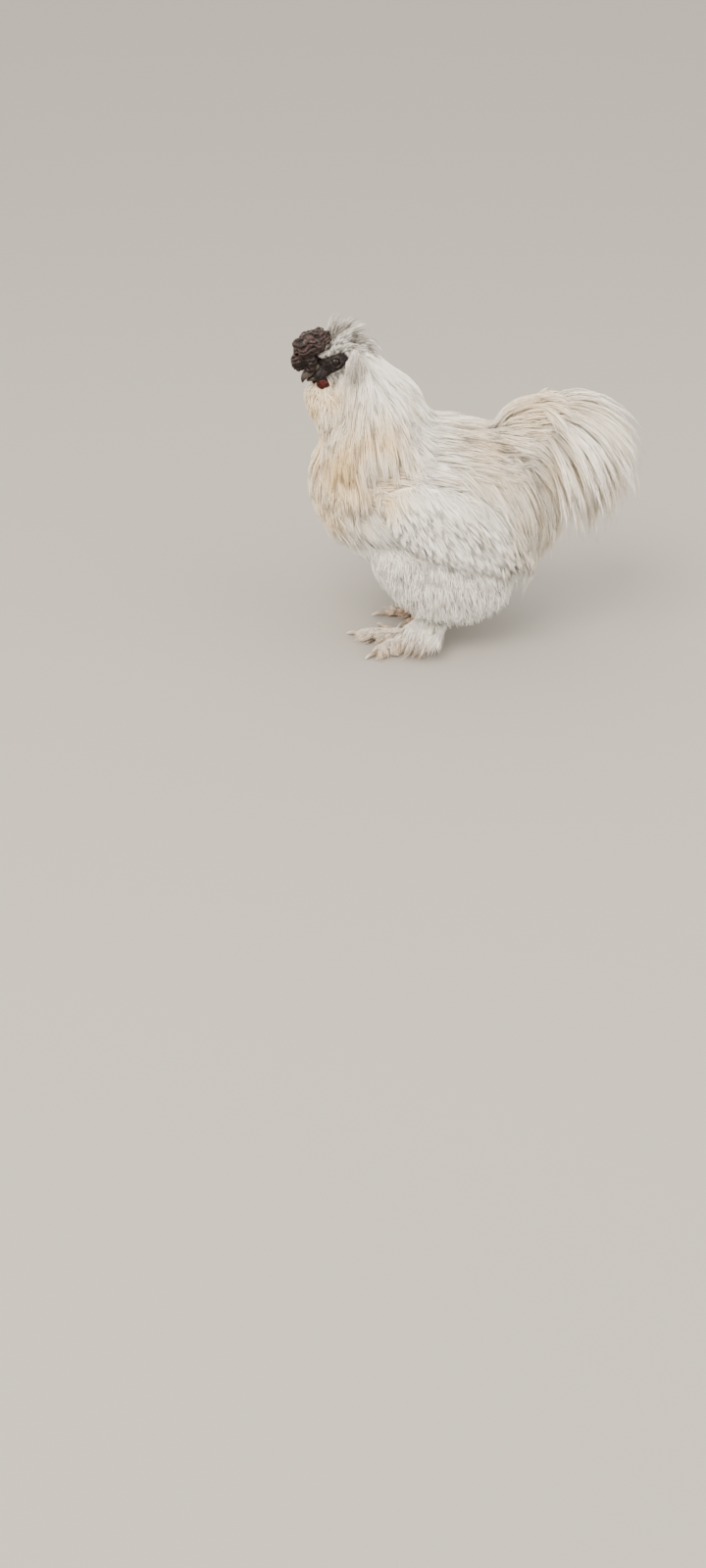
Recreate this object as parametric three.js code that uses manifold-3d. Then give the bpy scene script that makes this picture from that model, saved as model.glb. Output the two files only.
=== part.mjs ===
// A silkie cock as a still, life-size model, standing on both feet. Millimetres; it faces -X, its left side is -Y, +Z is up.
// Each sub-part is a core of flesh and down, with the long silky feathers that name the breed fused to it as tapered locks.
import * as THREE from "three";
import { mergeVertices } from "three/addons/utils/BufferGeometryUtils.js";
import Module from "manifold-3d";

const wasm = await Module();
wasm.setup();
const V = (x, y, z) => new THREE.Vector3(x, y, z);
const radians = THREE.MathUtils.degToRad;
const lerp = THREE.MathUtils.lerp;

// Driving dimensions
const GAP = 0.35; // left between touching sub-parts
const LOCK_THICK = 1.4;
const LAID_STEPS = 3; // sections along a lock that is laid over a surface
const COVERED = 1; // a lock isn't grown where another core covers its root deeper than this
const LOWEST_LOCK = 3; // a lock's middle stays this far above the ground
const CLEAR_OF_GROUND = 0.8; // between the ground and whatever isn't a foot
const SIDES = [
  { side: "left", sign: -1 },
  { side: "right", sign: 1 },
];

// Plumage outline of each big form, out to the tips of the feathers: centre, half width across the bird and half height at
// stations along its spine. The core is less by half the coat's depth, and the locks fill the rest.
const TORSO = {
  stations: [
    { at: [-178, 0, 200], wide: 50, high: 56 },
    { at: [-146, 0, 186], wide: 68, high: 74 },
    { at: [-95, 0, 166], wide: 80, high: 88 },
    { at: [-40, 0, 156], wide: 84, high: 92 },
    { at: [10, 0, 154], wide: 80, high: 90 },
    { at: [55, 0, 160], wide: 66, high: 82 },
    { at: [92, 0, 166], wide: 48, high: 62 },
  ],
  deep: 13,
  full: 0.62,
  around: 22,
  along: 14,
};
const NECK = {
  stations: [
    { at: [-124, 1, 330], wide: 17, high: 15, deep: 4 },
    { at: [-125, 1, 312], wide: 26, high: 21, deep: 6 },
    { at: [-120, 0, 284], wide: 39, high: 40, deep: 9 },
    { at: [-110, 0, 254], wide: 54, high: 55, deep: 12 },
    { at: [-109, 0, 220], wide: 67, high: 65, deep: 13 },
    { at: [-112, 0, 182], wide: 73, high: 66, deep: 13 },
    { at: [-112, 0, 148], wide: 66, high: 60, deep: 13 },
  ],
  full: 0.5,
  around: 18,
  along: 10,
};
const THROAT = {
  stations: [
    { at: [-158, -6, 290], wide: 15, high: 13, deep: 3 },
    { at: [-160, -5, 272], wide: 25, high: 23, deep: 5 },
    { at: [-154, -3, 250], wide: 34, high: 21, deep: 7 },
    { at: [-146, 0, 222], wide: 38, high: 24, deep: 8 },
  ],
  full: 0.5,
  around: 14,
  along: 8,
};
const THIGH = {
  stations: [
    { at: [-112, 38, 118], wide: 34, high: 34 },
    { at: [-66, 44, 100], wide: 42, high: 50 },
    { at: [-16, 46, 84], wide: 42, high: 56 },
    { at: [40, 42, 76], wide: 34, high: 44 },
  ],
  deep: 10,
  full: 0.7,
  around: 16,
  along: 9,
};
const WING = {
  stations: [
    { at: [-104, 62, 182], wide: 10, high: 20 },
    { at: [-74, 76, 174], wide: 12, high: 36 },
    { at: [-32, 80, 154], wide: 12, high: 42 },
    { at: [6, 74, 130], wide: 11, high: 34 },
    { at: [40, 62, 100], wide: 7, high: 13 },
  ],
  deep: 5,
  full: 0.6,
  around: 14,
  along: 10,
};
const TAIL = {
  stations: [
    { at: [26, 0, 214], wide: 30, high: 28 },
    { at: [52, 0, 226], wide: 34, high: 34 },
    { at: [82, 0, 222], wide: 32, high: 34 },
    { at: [110, 0, 200], wide: 20, high: 20 },
  ],
  full: 0.6,
  around: 16,
  along: 8,
};

// Rows of locks: where each row stands along its form, the arc it covers from the right side round over the back, how many
// locks it has, their length, half width and lift off the core, and the way they lie.
const TORSO_ROWS = [
  { at: 0.012, arc: [150, 390], count: 4, length: 50, wide: 11, lift: 9, lie: [0.1, 0, -1] },
  { at: 0.1, arc: [165, 375], count: 5, length: 58, wide: 12, lift: 11, lie: [0.3, 0, -1] },
  { at: 0.21, arc: [175, 365], count: 6, length: 62, wide: 12.5, lift: 12, lie: [0.6, 0, -0.9] },
  { at: 0.34, arc: [200, 340], count: 4, length: 64, wide: 12.5, lift: 12, lie: [0.9, 0, -0.5] },
  { at: 0.48, arc: [215, 325], count: 3, length: 64, wide: 12, lift: 11, lie: [1, 0, -0.3] },
  { at: 0.63, arc: [210, 330], count: 3, length: 60, wide: 12, lift: 11, lie: [1, 0, -0.5] },
  { at: 0.78, arc: [185, 355], count: 6, length: 58, wide: 12, lift: 12, lie: [0.7, 0, -0.9], cling: 0.3 },
  { at: 0.9, arc: [170, 370], count: 6, length: 56, wide: 11.5, lift: 12, lie: [0.4, 0, -1], cling: 0.3 },
  { at: 0.982, arc: [140, 400], count: 5, length: 52, wide: 11, lift: 11, lie: [0.15, 0, -1], cling: 0.4 },
  { at: 0.53, arc: [12, 168], count: 6, length: 66, wide: 12, lift: 9, lie: [1, 0, -0.1], spread: 0.2 },
  { at: 0.67, arc: [2, 178], count: 6, length: 66, wide: 12, lift: 11, lie: [1, 0, -0.25], spread: 0.3 },
  { at: 0.81, arc: [-5, 185], count: 6, length: 66, wide: 11.5, lift: 12, lie: [1, 0, -0.6], spread: 0.3 },
  { at: 0.62, arc: [52, 128], count: 4, length: 62, wide: 13, lift: 8, lie: [1, 0, 0.35], spread: 0.15, cling: 0.9 },
];
const NECK_ROWS = [
  { at: 0.11, arc: [-10, 190], count: 4, length: 44, wide: 9, lift: 5, lie: [0.35, 0, -1] },
  { at: 0.25, arc: [-55, 235], count: 6, length: 58, wide: 11, lift: 8, lie: [0.25, 0, -1] },
  { at: 0.39, arc: [-90, 270], count: 7, length: 64, wide: 12.5, lift: 10, lie: [0.2, 0, -1], rear: [0.7, 0, -1], cling: 0.9 },
  { at: 0.53, arc: [-90, 270], count: 9, length: 64, wide: 13, lift: 11, lie: [0.25, 0, -1], rear: [1, 0, -0.5], cling: 0.95 },
  { at: 0.69, arc: [-150, -30], count: 4, length: 56, wide: 13, lift: 11, lie: [0.35, 0, -1], cling: 0.9 },
];
const THROAT_ROWS = [
  { at: 0.2, arc: [180, 360], count: 4, length: 30, wide: 7.5, lift: 4, lie: [0, 0, -1], sink: 3 },
  { at: 0.55, arc: [185, 355], count: 4, length: 38, wide: 9.5, lift: 6, lie: [0.1, 0, -1], sink: 4 },
];
// On a wing and a thigh the arc starts at the top of the outer face, and the lowest lock of a row lies another way.
const WING_ROWS = [
  { at: 0.1, arc: [60, -60], count: 3, length: 42, wide: 10, lift: 5, lie: [1, 0, -0.3], low: [0.35, 0, -1] },
  { at: 0.28, arc: [70, -70], count: 4, length: 54, wide: 11, lift: 6, lie: [1, 0, -0.3], low: [0.45, 0, -1] },
  { at: 0.47, arc: [70, -75], count: 4, length: 60, wide: 12, lift: 7, lie: [1, 0, -0.4], low: [0.6, 0, -1] },
  { at: 0.67, arc: [70, -75], count: 4, length: 62, wide: 11, lift: 8, lie: [1, 0, -0.5], low: [0.8, 0, -1] },
  { at: 0.86, arc: [60, -60], count: 2, length: 50, wide: 10, lift: 8, lie: [1, 0, -0.7], low: [0.8, 0, -0.9] },
];
const THIGH_ROWS = [
  { at: 0.1, arc: [25, -125], count: 3, length: 42, wide: 11, lift: 8, lie: [0.05, 0, -1], cling: 0.3 },
  { at: 0.3, arc: [32, -122], count: 4, length: 42, wide: 13.5, lift: 8, lie: [0.1, 0, -1], cling: 0.3 },
  { at: 0.52, arc: [32, -122], count: 4, length: 42, wide: 13.5, lift: 8, lie: [0.15, 0, -1], cling: 0.3 },
  { at: 0.74, arc: [32, -122], count: 4, length: 42, wide: 13.5, lift: 8, lie: [0.25, 0, -1], cling: 0.3 },
  { at: 0.94, arc: [30, -130], count: 2, length: 40, wide: 11, lift: 8, lie: [0.4, 0, -1], cling: 0.3 },
];
const SHANK_ROWS = [
  { at: 0.3, arc: [50, -50], count: 2, length: 32, wide: 8, lift: 4, lie: [-0.1, 1, -0.45], sink: 2.6, cling: 0 },
  { at: 0.55, arc: [60, -60], count: 2, length: 38, wide: 10, lift: 5, lie: [0.1, 0.6, -0.8], sink: 2.8, cling: 0 },
];
// Feathers along a toe: how far along it their roots stand, and how far their bearing turns out from the toe's.
const TOE_FEATHERS = { shares: [0.25, 0.65], turn: 62, length: 26, wide: 8, toes: ["outer", "middle"] };
// Tiers of tail feathers: the slopes they leave and end at, how far they fan out to each side, their count and length.
const TAIL_HUB = V(66, 0, 170);
const TAIL_SINK = 9;
const TAIL_TIERS = [
  { slopes: [30, -50], from: 96, fan: 60, count: 4, length: 78, wide: 13 },
  { slopes: [24, -80], from: 62, fan: 30, count: 6, length: 146, wide: 11 },
  { slopes: [12, -84], from: 40, fan: 58, count: 6, length: 136, wide: 11 },
  { slopes: [-6, -86], from: 16, fan: 70, count: 6, length: 122, wide: 11 },
  { slopes: [-28, -88], from: -10, fan: 60, count: 5, length: 100, wide: 11 },
];
// The crest's rows run from the nape to the back of the comb, each with its place on the head and the slopes it leaves and
// ends at.
const CREST = {
  rows: [
    { at: [-17, 13, 10], slopes: [70, 15], length: 27, count: 3 },
    { at: [-6, 13, 15], slopes: [94, 48], length: 34, count: 4 },
    { at: [4, 11, 16], slopes: [108, 76], length: 39, count: 3 },
  ],
  wide: 8,
  fan: 0.7,
  sink: 4,
};
// Short locks on the cheek behind the eye, by places on the head.
const CHEEK = { roots: [[-12, 15.5, 3], [-8, 14, -11]], length: 22, wide: 7 };

const COLORS = {
  eye: 0x16110f,
  claw: 0xc9bda4,
  comb: 0x3f2528,
  horn: 0x9a8c78,
  wattle: 0x7c1f22,
  lobe: 0x3a4b57,
  head: 0x2e2a31,
  neck: 0xf0e2c0,
  torso: 0xf1e9d8,
  wing: 0xf6f1e8,
  tail: 0xefe6d2,
  thigh: 0xf7f3ea,
  shank: 0xe9ddc8,
  foot: 0xb89f86,
};

// The head turns towards the left and dips.
const HEAD_AT = V(-147, 1, 310);
const HEAD_TURN = radians(25);
const HEAD_DIP = radians(20);
const FORWARD = V(
  -Math.cos(HEAD_DIP) * Math.cos(HEAD_TURN),
  -Math.cos(HEAD_DIP) * Math.sin(HEAD_TURN),
  -Math.sin(HEAD_DIP),
);
const LEFTWARD = V(Math.sin(HEAD_TURN), -Math.cos(HEAD_TURN), 0);
const UPWARD = FORWARD.clone().cross(LEFTWARD);
const EYE = { at: [9, 13.6, 2], radius: 5.2 };
const LID = { radius: 5.4, tube: 1.3, out: 1.6 };

const SHANK_RADIUS = 6.2;
const HOCK_RADIUS = 9;
const FOOT_HEIGHT = 6; // the middle of the ball of the foot above the ground
const FOOT_BALL = [9, 8.5, 7.5];
const TOE_SINK = 0.8; // a toe's middle above the ground, as a share of its radius
const CLAW_SHARE = 0.6;
const FEET = {
  left: { base: V(-73, -43, 0), hock: V(-24, -46, 64), heading: -18 },
  right: { base: V(-42, 25, 0), hock: V(4, 40, 62), heading: -4 },
};
// Each toe: its bearing from straight ahead (away from the body's midline is positive), length, radius and claw length.
const TOES = [
  { name: "inner", bearing: -36, length: 40, radius: 4.4, claw: 11 },
  { name: "middle", bearing: 0, length: 54, radius: 4.8, claw: 12 },
  { name: "outer", bearing: 56, length: 44, radius: 4.4, claw: 11 },
  { name: "hind", bearing: 188, length: 19, radius: 4.2, claw: 10 },
  { name: "fifth", bearing: 150, length: 22, radius: 3.8, claw: 11, rise: 16 },
];

// The same draws each time, so that the model never changes between runs.
function seeded(seed) {
  let state = seed;
  return () => {
    state = (state * 1664525 + 1013904223) % 4294967296;
    return state / 4294967296;
  };
}

// A closed geometry as a solid. A mapping may turn it inside out, and then each face is turned back.
function solidOf(geometry) {
  const bare = new THREE.BufferGeometry().setAttribute("position", geometry.getAttribute("position"));
  bare.setIndex(geometry.index);
  const merged = mergeVertices(bare, 1e-4);
  const triVerts = new Uint32Array(merged.index.array);
  const build = () =>
    new wasm.Manifold(
      new wasm.Mesh({ numProp: 3, vertProperties: merged.attributes.position.array, triVerts }),
    );
  const solid = build();
  if (solid.volume() >= 0) return solid;
  for (let i = 0; i < triVerts.length; i += 3) {
    [triVerts[i + 1], triVerts[i + 2]] = [triVerts[i + 2], triVerts[i + 1]];
  }
  return build();
}

// Moves each vertex of a closed geometry. Where the geometry's own seam doubles one, both go to the same place.
function mapped(geometry, place) {
  const position = geometry.getAttribute("position");
  const v = new THREE.Vector3();
  const tidy = (x) => Math.round(x * 1e6) / 1e6 + 0;
  for (let i = 0; i < position.count; i++) {
    v.fromBufferAttribute(position, i);
    const to = place(v.set(tidy(v.x), tidy(v.y), tidy(v.z)));
    position.setXYZ(i, to.x, to.y, to.z);
  }
  return solidOf(geometry);
}

const joined = (solids) => wasm.Manifold.union(solids);
const largest = (solid) =>
  solid.decompose().reduce((most, piece) => (piece.volume() > most.volume() ? piece : most));

// A loft's centre, its two half sizes less the core's depth, and its section axes at share s of its spine.
function sectionAt(form, s) {
  const curve = (points) => new THREE.CatmullRomCurve3(points, false, "catmullrom");
  const spine = curve(form.stations.map((p) => V(...p.at)));
  const size = curve(form.stations.map((p) => V(p.wide, p.high, p.deep ?? form.deep ?? 0))).getPoint(s);
  const along = spine.getTangent(s);
  const side = V(...(form.sideways ?? [0, 1, 0])).projectOnPlane(along).normalize();
  return {
    centre: spine.getPoint(s).addScaledVector(along, (1 - 2 * s) * size.z),
    along,
    side,
    back: along.clone().cross(side),
    wide: size.x - size.z,
    high: size.y - size.z,
  };
}

// The point of a loft's surface at share s of its spine, at an angle from its right side round over its back.
function onLoft(form, s, angle, grow = 0) {
  const cut = sectionAt(form, s);
  const round = Math.sqrt(4 * s * (1 - s)) ** form.full;
  return cut.centre
    .clone()
    .addScaledVector(cut.side, Math.cos(angle) * (cut.wide + grow) * round)
    .addScaledVector(cut.back, Math.sin(angle) * (cut.high + grow) * round)
    .addScaledVector(cut.along, (2 * s - 1) * grow);
}

function loft(form, grow = 0) {
  return mapped(new THREE.SphereGeometry(1, form.around, form.along), (v) =>
    onLoft(form, THREE.MathUtils.clamp((1 - v.y) / 2, 0, 1), Math.atan2(v.z, v.x), grow),
  );
}

// A rounded lump with three half sizes along three axes.
function lump(at, [a, b, c], axes, [around, along] = [10, 7], grow = 0) {
  const [x, y, z] = axes ?? [V(1, 0, 0), V(0, 1, 0), V(0, 0, 1)];
  return mapped(new THREE.SphereGeometry(1, around, along), (v) =>
    at
      .clone()
      .addScaledVector(x, v.x * (a + grow))
      .addScaledVector(y, v.z * (b + grow))
      .addScaledVector(z, v.y * (c + grow)),
  );
}

const mirrored = (form, sign) => ({
  ...form,
  stations: form.stations.map((p) => ({ ...p, at: [p.at[0], p.at[1] * sign, p.at[2]] })),
});

// A place on the head: forward, to the left and up from its middle.
const headPoint = ([f, l, u]) =>
  HEAD_AT.clone()
    .addScaledVector(FORWARD, f)
    .addScaledVector(LEFTWARD, l)
    .addScaledVector(UPWARD, u);
const HEAD_AXES = [FORWARD, LEFTWARD, UPWARD];

// The nearest point of a solid's surface, with the smooth normal there.
function surfaceOf(solid) {
  const mesh = solid.getMesh();
  const geometry = new THREE.BufferGeometry()
    .setAttribute("position", new THREE.BufferAttribute(new Float32Array(mesh.vertProperties), 3))
    .setIndex(new THREE.BufferAttribute(mesh.triVerts, 1));
  geometry.computeVertexNormals();
  const corner = (name, i) => V(0, 0, 0).fromBufferAttribute(geometry.getAttribute(name), i);
  const faces = [];
  for (let i = 0; i < mesh.triVerts.length; i += 3) {
    const ids = [...mesh.triVerts.subarray(i, i + 3)];
    const triangle = new THREE.Triangle(...ids.map((id) => corner("position", id)));
    faces.push({ triangle, normals: ids.map((id) => corner("normal", id)) });
  }
  const found = V(0, 0, 0);
  return (p) => {
    let best = Infinity;
    let face = null;
    const point = V(0, 0, 0);
    for (const f of faces) {
      f.triangle.closestPointToPoint(p, found);
      const far = found.distanceToSquared(p);
      if (far < best) {
        best = far;
        face = f;
        point.copy(found);
      }
    }
    const share = face.triangle.getBarycoord(point, V(0, 0, 0)) ?? V(1, 0, 0);
    const normal = V(0, 0, 0);
    face.normals.forEach((n, i) => normal.addScaledVector(n, share.getComponent(i)));
    normal.normalize();
    return { point, normal, height: p.clone().sub(point).dot(normal) };
  };
}

// Lays a lock over the surface under it, from a root. It follows the lie of the coat, rises to its lift by the tip and clings
// to what is under it, or hangs free past an edge. Its root is sunk.
function laid(nearest, root, lie, lock) {
  const { length, lift, cling = 0.8, sink = 5 } = lock;
  const start = nearest(root);
  const path = [start.point.clone().addScaledVector(start.normal, -sink)];
  const normals = [start.normal];
  const p = start.point.clone();
  for (let k = 1; k <= LAID_STEPS; k++) {
    const t = k / LAID_STEPS;
    const step = lie.clone().normalize();
    const into = step.dot(normals[k - 1]);
    if (into < 0) step.addScaledVector(normals[k - 1], -into).normalize();
    p.addScaledVector(step, length / LAID_STEPS);
    const under = nearest(p);
    const wanted = lift * (0.4 + 0.6 * t);
    const far = under.height - wanted;
    p.addScaledVector(under.normal, -far * (far < 0 ? 1 : cling));
    p.z = Math.max(p.z, LOWEST_LOCK);
    path.push(p.clone());
    normals.push(under.normal);
  }
  return { path, normals, wide: lock.wide };
}

// A feather that bends by itself: it leaves its root at one slope and ends at another, in the plane of its bearing.
function arched(root, bearing, slopes, lock) {
  const level = V(Math.cos(bearing), Math.sin(bearing), 0);
  const path = [root.clone()];
  for (let k = 1; k <= lock.steps; k++) {
    const slope = lerp(slopes[0], slopes[1], (k - 0.5) / lock.steps);
    const step = level.clone().multiplyScalar(Math.cos(slope)).setZ(Math.sin(slope));
    path.push(path[k - 1].clone().addScaledVector(step, lock.length / lock.steps));
  }
  const normals = path.map((p) => p.clone().sub(lock.hub).normalize());
  return { path, normals, wide: lock.wide };
}

// A flat, tapered lock with a low ridge along its outer face.
function lockSolid({ path, normals, wide }, grow = 0) {
  const last = path.length - 1;
  const sections = path.map((p, i) => {
    const along = path[Math.min(i + 1, last)].clone().sub(path[Math.max(i - 1, 0)]).normalize();
    const out = normals[i].clone().projectOnPlane(along).normalize();
    return { p, along, out, side: along.clone().cross(out) };
  });
  return mapped(new THREE.ConeGeometry(1, 1, 3, last), (v) => {
    const i = Math.round((v.y + 0.5) * last);
    const t = i / last;
    const { p, along, out, side } = sections[i];
    if (i === last) return p.clone().addScaledVector(along, 4 * grow);
    const swell = Math.sqrt(1 - t) * (0.75 + 0.75 * t);
    const round = Math.hypot(v.x, v.z) / (1 - t);
    const angle = Math.atan2(v.x, v.z);
    return p
      .clone()
      .addScaledVector(side, Math.sin(angle) * round * (wide * swell + 3 * grow))
      .addScaledVector(out, Math.cos(angle) * round * (LOCK_THICK * swell + 2 * grow))
      .addScaledVector(along, i === 0 ? -grow : 0);
  });
}

// Rows of locks on a form. A row stands at a share of the form's spine and covers an arc of it, and each other lock of a row
// is lifted a little more, so that neighbours lie over one another.
function coatOf(form, rows, nearest, seed) {
  const random = seeded(seed);
  const around = () => random() - 0.5;
  return rows.flatMap((row, r) =>
    Array.from({ length: row.count }).flatMap((_, i) => {
      const share = (i + 0.25 + 0.5 * (r % 2) + 0.3 * around()) / row.count;
      const angle = radians(lerp(row.arc[0], row.arc[1], share));
      const root = onLoft(form, row.at + 0.02 * around(), angle);
      const lie = V(...row.lie).lerp(V(...(row.low ?? row.lie)), share);
      lie.lerp(V(...(row.rear ?? row.lie)), Math.max(0, Math.sin(angle)) ** 2);
      lie.addScaledVector(V(0, Math.sign(root.y), 0), row.spread ?? 0);
      lie.add(V(around(), around(), around()).multiplyScalar(0.14));
      const lock = {
        ...row,
        length: row.length * (0.85 + 0.3 * random()),
        lift: row.lift * (i % 2 ? 1 : 0.6),
        wide: row.wide * (0.88 + 0.24 * random()),
      };
      return nearest(root).height < -COVERED ? [] : [laid(nearest, root, lie, lock)];
    }),
  );
}

// Beak, comb, lobes and wattles, by places on the head.
const onHead = (stations) => stations.map(([f, l, u, wide, high]) => ({ at: headPoint([f, l, u]).toArray(), wide, high }));
const UPPER_BEAK = {
  stations: onHead([
    [20, 0, 1, 9, 7],
    [28, 0, 1, 8, 6.5],
    [36, 0, -1, 6, 5],
    [42, 0, -4, 3.6, 3.2],
    [45, 0, -8, 1.2, 1.4],
  ]),
  sideways: LEFTWARD.toArray(),
  full: 0.5,
  around: 10,
  along: 8,
};
const LOWER_BEAK = {
  stations: onHead([
    [18, 0, -9, 8, 4],
    [26, 0, -9, 6.5, 3.6],
    [34, 0, -8.5, 4.6, 2.8],
    [40, 0, -8.5, 2, 1.6],
  ]),
  sideways: LEFTWARD.toArray(),
  full: 0.5,
  around: 10,
  along: 6,
};
const HEAD_RADII = [26, 18, 19];
const COMB = { at: [21, 0, 25], radii: [21, 16, 14], knob: 7, rows: [6, 5, 1] };
// The comb comes down over the root of the beak in a low mass, and ends in a rounded lobe in front.
const COMB_LOBES = [
  { at: [31, 0, 12], radii: [9.5, 12.5, 11] },
  { at: [33, 6.5, 6], radii: [6, 5, 6] },
  { at: [33, -6.5, 6], radii: [6, 5, 6] },
  { at: [42, 0, 14], radii: [6.5, 7.5, 9.5] },
];
const EARLOBE = { at: [-1, 15.5, -9], radii: [6.5, 3.5, 6] };
const WATTLE = { at: [27, 7, -18], radii: [6.5, 5, 8.5] };
const NOSTRIL = { at: [31, 6.6, 3], radii: [2.4, 1.3, 1.1] };

const sideOf = ([f, l, u], sign) => headPoint([f, -sign * l, u]);

function comb(grow) {
  const random = seeded(7);
  const pieces = [
    lump(headPoint(COMB.at), COMB.radii.map((r) => r - 2.5), HEAD_AXES, [10, 7], grow),
    ...COMB_LOBES.map((lobe) => lump(headPoint(lobe.at), lobe.radii, HEAD_AXES, [8, 5], grow)),
  ];
  COMB.rows.forEach((count, row) => {
    const height = radians(10 + row * 28);
    for (let i = 0; i < count; i++) {
      const turn = ((i + 0.5 * (row % 2)) / count) * 2 * Math.PI + 0.25 * (random() - 0.5);
      const away = [
        Math.cos(height) * Math.cos(turn) * (COMB.radii[0] - 3),
        Math.cos(height) * Math.sin(turn) * (COMB.radii[1] - 3),
        Math.sin(height) * (COMB.radii[2] - 2),
      ];
      const size = COMB.knob * (0.85 + 0.35 * random());
      const at = headPoint(COMB.at.map((c, k) => c + away[k]));
      pieces.push(lump(at, [size, size * 0.9, size * 0.8], HEAD_AXES, [6, 5], grow));
    }
  });
  return joined(pieces);
}

const head = (grow) => lump(HEAD_AT, HEAD_RADII, HEAD_AXES, [16, 10], grow);

const eye = (sign) => (grow) =>
  lump(sideOf(EYE.at, sign), [EYE.radius, EYE.radius, EYE.radius], HEAD_AXES, [12, 8], grow);

// A lid is a rounded ring that stands proud of the head round the eye.
function lid(sign) {
  const outward = sideOf([0, 1, 0.1], sign).sub(HEAD_AT).normalize();
  const turn = new THREE.Quaternion().setFromUnitVectors(V(0, 0, 1), outward);
  const at = sideOf(EYE.at, sign).addScaledVector(outward, LID.out);
  const ring = new THREE.TorusGeometry(LID.radius, LID.tube, 5, 10);
  return mapped(ring, (v) => v.clone().applyQuaternion(turn).add(at));
}

function upperBeak(grow) {
  const horn = loft(UPPER_BEAK, grow);
  if (grow) return horn;
  const pits = SIDES.map(({ sign }) =>
    lump(sideOf(NOSTRIL.at, sign), NOSTRIL.radii, HEAD_AXES, [6, 4]),
  );
  return horn.subtract(joined(pits));
}

// A direction on the ground, at a bearing from straight ahead and away from the body's midline.
const ahead = (bearing, sign) => V(-Math.cos(radians(bearing)), sign * Math.sin(radians(bearing)), 0);

// A toe runs from the ball of the foot and lies on the ground, or rises from the shank where it has a rise.
function toeForm(foot, toe, sign) {
  const way = ahead(foot.heading + toe.bearing, sign);
  const start = foot.base.clone().addScaledVector(way, 3).setZ(FOOT_HEIGHT + (toe.rise ?? 0) * 0.6);
  const low = toe.radius * TOE_SINK + (toe.rise ?? 0);
  const at = (share, z) => start.clone().addScaledVector(way, toe.length * share).setZ(z);
  const stations = [
    { at: start, size: 1.15 },
    { at: at(0.35, low + 2.2), size: 1 },
    { at: at(0.7, low + 0.6), size: 0.95 },
    { at: at(1, low), size: 0.8 },
  ];
  return {
    stations: stations.map((p) => ({
      at: p.at.toArray(),
      wide: toe.radius * p.size,
      high: toe.radius * p.size,
    })),
    sideways: ahead(foot.heading + toe.bearing + 90, sign).toArray(),
    full: 0.45,
    around: 7,
    along: 5,
    way,
    tip: at(1, low),
  };
}

function claw(foot, toe, sign, grow) {
  const { way, tip } = toeForm(foot, toe, sign);
  const size = toe.radius * CLAW_SHARE;
  const at = (share, z) => tip.clone().addScaledVector(way, toe.claw * share).setZ(z);
  return loft(
    {
      stations: [
        { at: at(-0.35, tip.z).toArray(), wide: size, high: size },
        { at: at(0.3, tip.z + 0.6).toArray(), wide: size * 0.85, high: size * 0.9 },
        { at: at(0.75, tip.z - 0.8).toArray(), wide: size * 0.5, high: size * 0.6 },
        { at: at(1, tip.z - 2).toArray(), wide: 0.5, high: 0.5 },
      ],
      sideways: ahead(foot.heading + toe.bearing + 90, sign).toArray(),
      full: 0.4,
      around: 6,
      along: 5,
    },
    grow,
  );
}

// Feathers stand out along the outer and the middle toe.
const toeFeathers = (foot, sign) => (nearest) =>
  TOES.filter((toe) => TOE_FEATHERS.toes.includes(toe.name)).flatMap((toe) => {
    const form = toeForm(foot, toe, sign);
    return TOE_FEATHERS.shares.map((share, i) => {
      const root = onLoft(form, 0.15 + 0.7 * share, radians(90));
      const lie = ahead(foot.heading + toe.bearing + TOE_FEATHERS.turn + 12 * (i % 2), sign).setZ(0.1);
      return laid(nearest, root, lie, { ...TOE_FEATHERS, lift: 2.5, sink: 2.5, cling: 0.2 });
    });
  });

const footCore = (foot, sign) => (grow) =>
  joined([
    lump(foot.base.clone().setZ(FOOT_HEIGHT), FOOT_BALL, null, [10, 6], grow),
    ...TOES.map((toe) => loft(toeForm(foot, toe, sign), grow)),
  ]);

const shankForm = (foot) => ({
  stations: [0, 0.33, 0.66, 1].map((share) => ({
    at: foot.base.clone().setZ(FOOT_HEIGHT).lerp(foot.hock, share).toArray(),
    wide: lerp(SHANK_RADIUS, HOCK_RADIUS, share ** 2),
    high: lerp(SHANK_RADIUS, HOCK_RADIUS, share ** 2),
  })),
  full: 0.4,
  around: 10,
  along: 6,
});

// The crest stands up behind the comb and falls back over the nape, and short locks cover the cheeks.
function crest(nearest) {
  const random = seeded(55);
  const locks = [];
  const back = Math.atan2(-FORWARD.y, -FORWARD.x);
  for (const row of CREST.rows) {
    for (let i = 0; i < row.count; i++) {
      const across = lerp(-1, 1, (i + 0.5) / row.count);
      const [f, l, u] = row.at;
      const start = nearest(headPoint([f, across * l, u - 6 * across ** 2]));
      const root = start.point.clone().addScaledVector(start.normal, -CREST.sink);
      const turn = 10 * (random() - 0.5) - 25 * Math.abs(across);
      const slopes = row.slopes.map((slope) => radians(slope + turn));
      const lock = { length: row.length * (0.85 + 0.3 * random()), wide: CREST.wide, hub: HEAD_AT, steps: 3 };
      locks.push(arched(root, back - across * CREST.fan, slopes, lock));
    }
  }
  for (const { sign } of SIDES) {
    for (const place of CHEEK.roots) {
      const lie = FORWARD.clone().multiplyScalar(-0.8).addScaledVector(UPWARD, -0.6);
      locks.push(laid(nearest, sideOf(place, sign), lie, { ...CHEEK, lift: 3.5, sink: 3, cling: 0.4 }));
    }
  }
  return locks;
}

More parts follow.
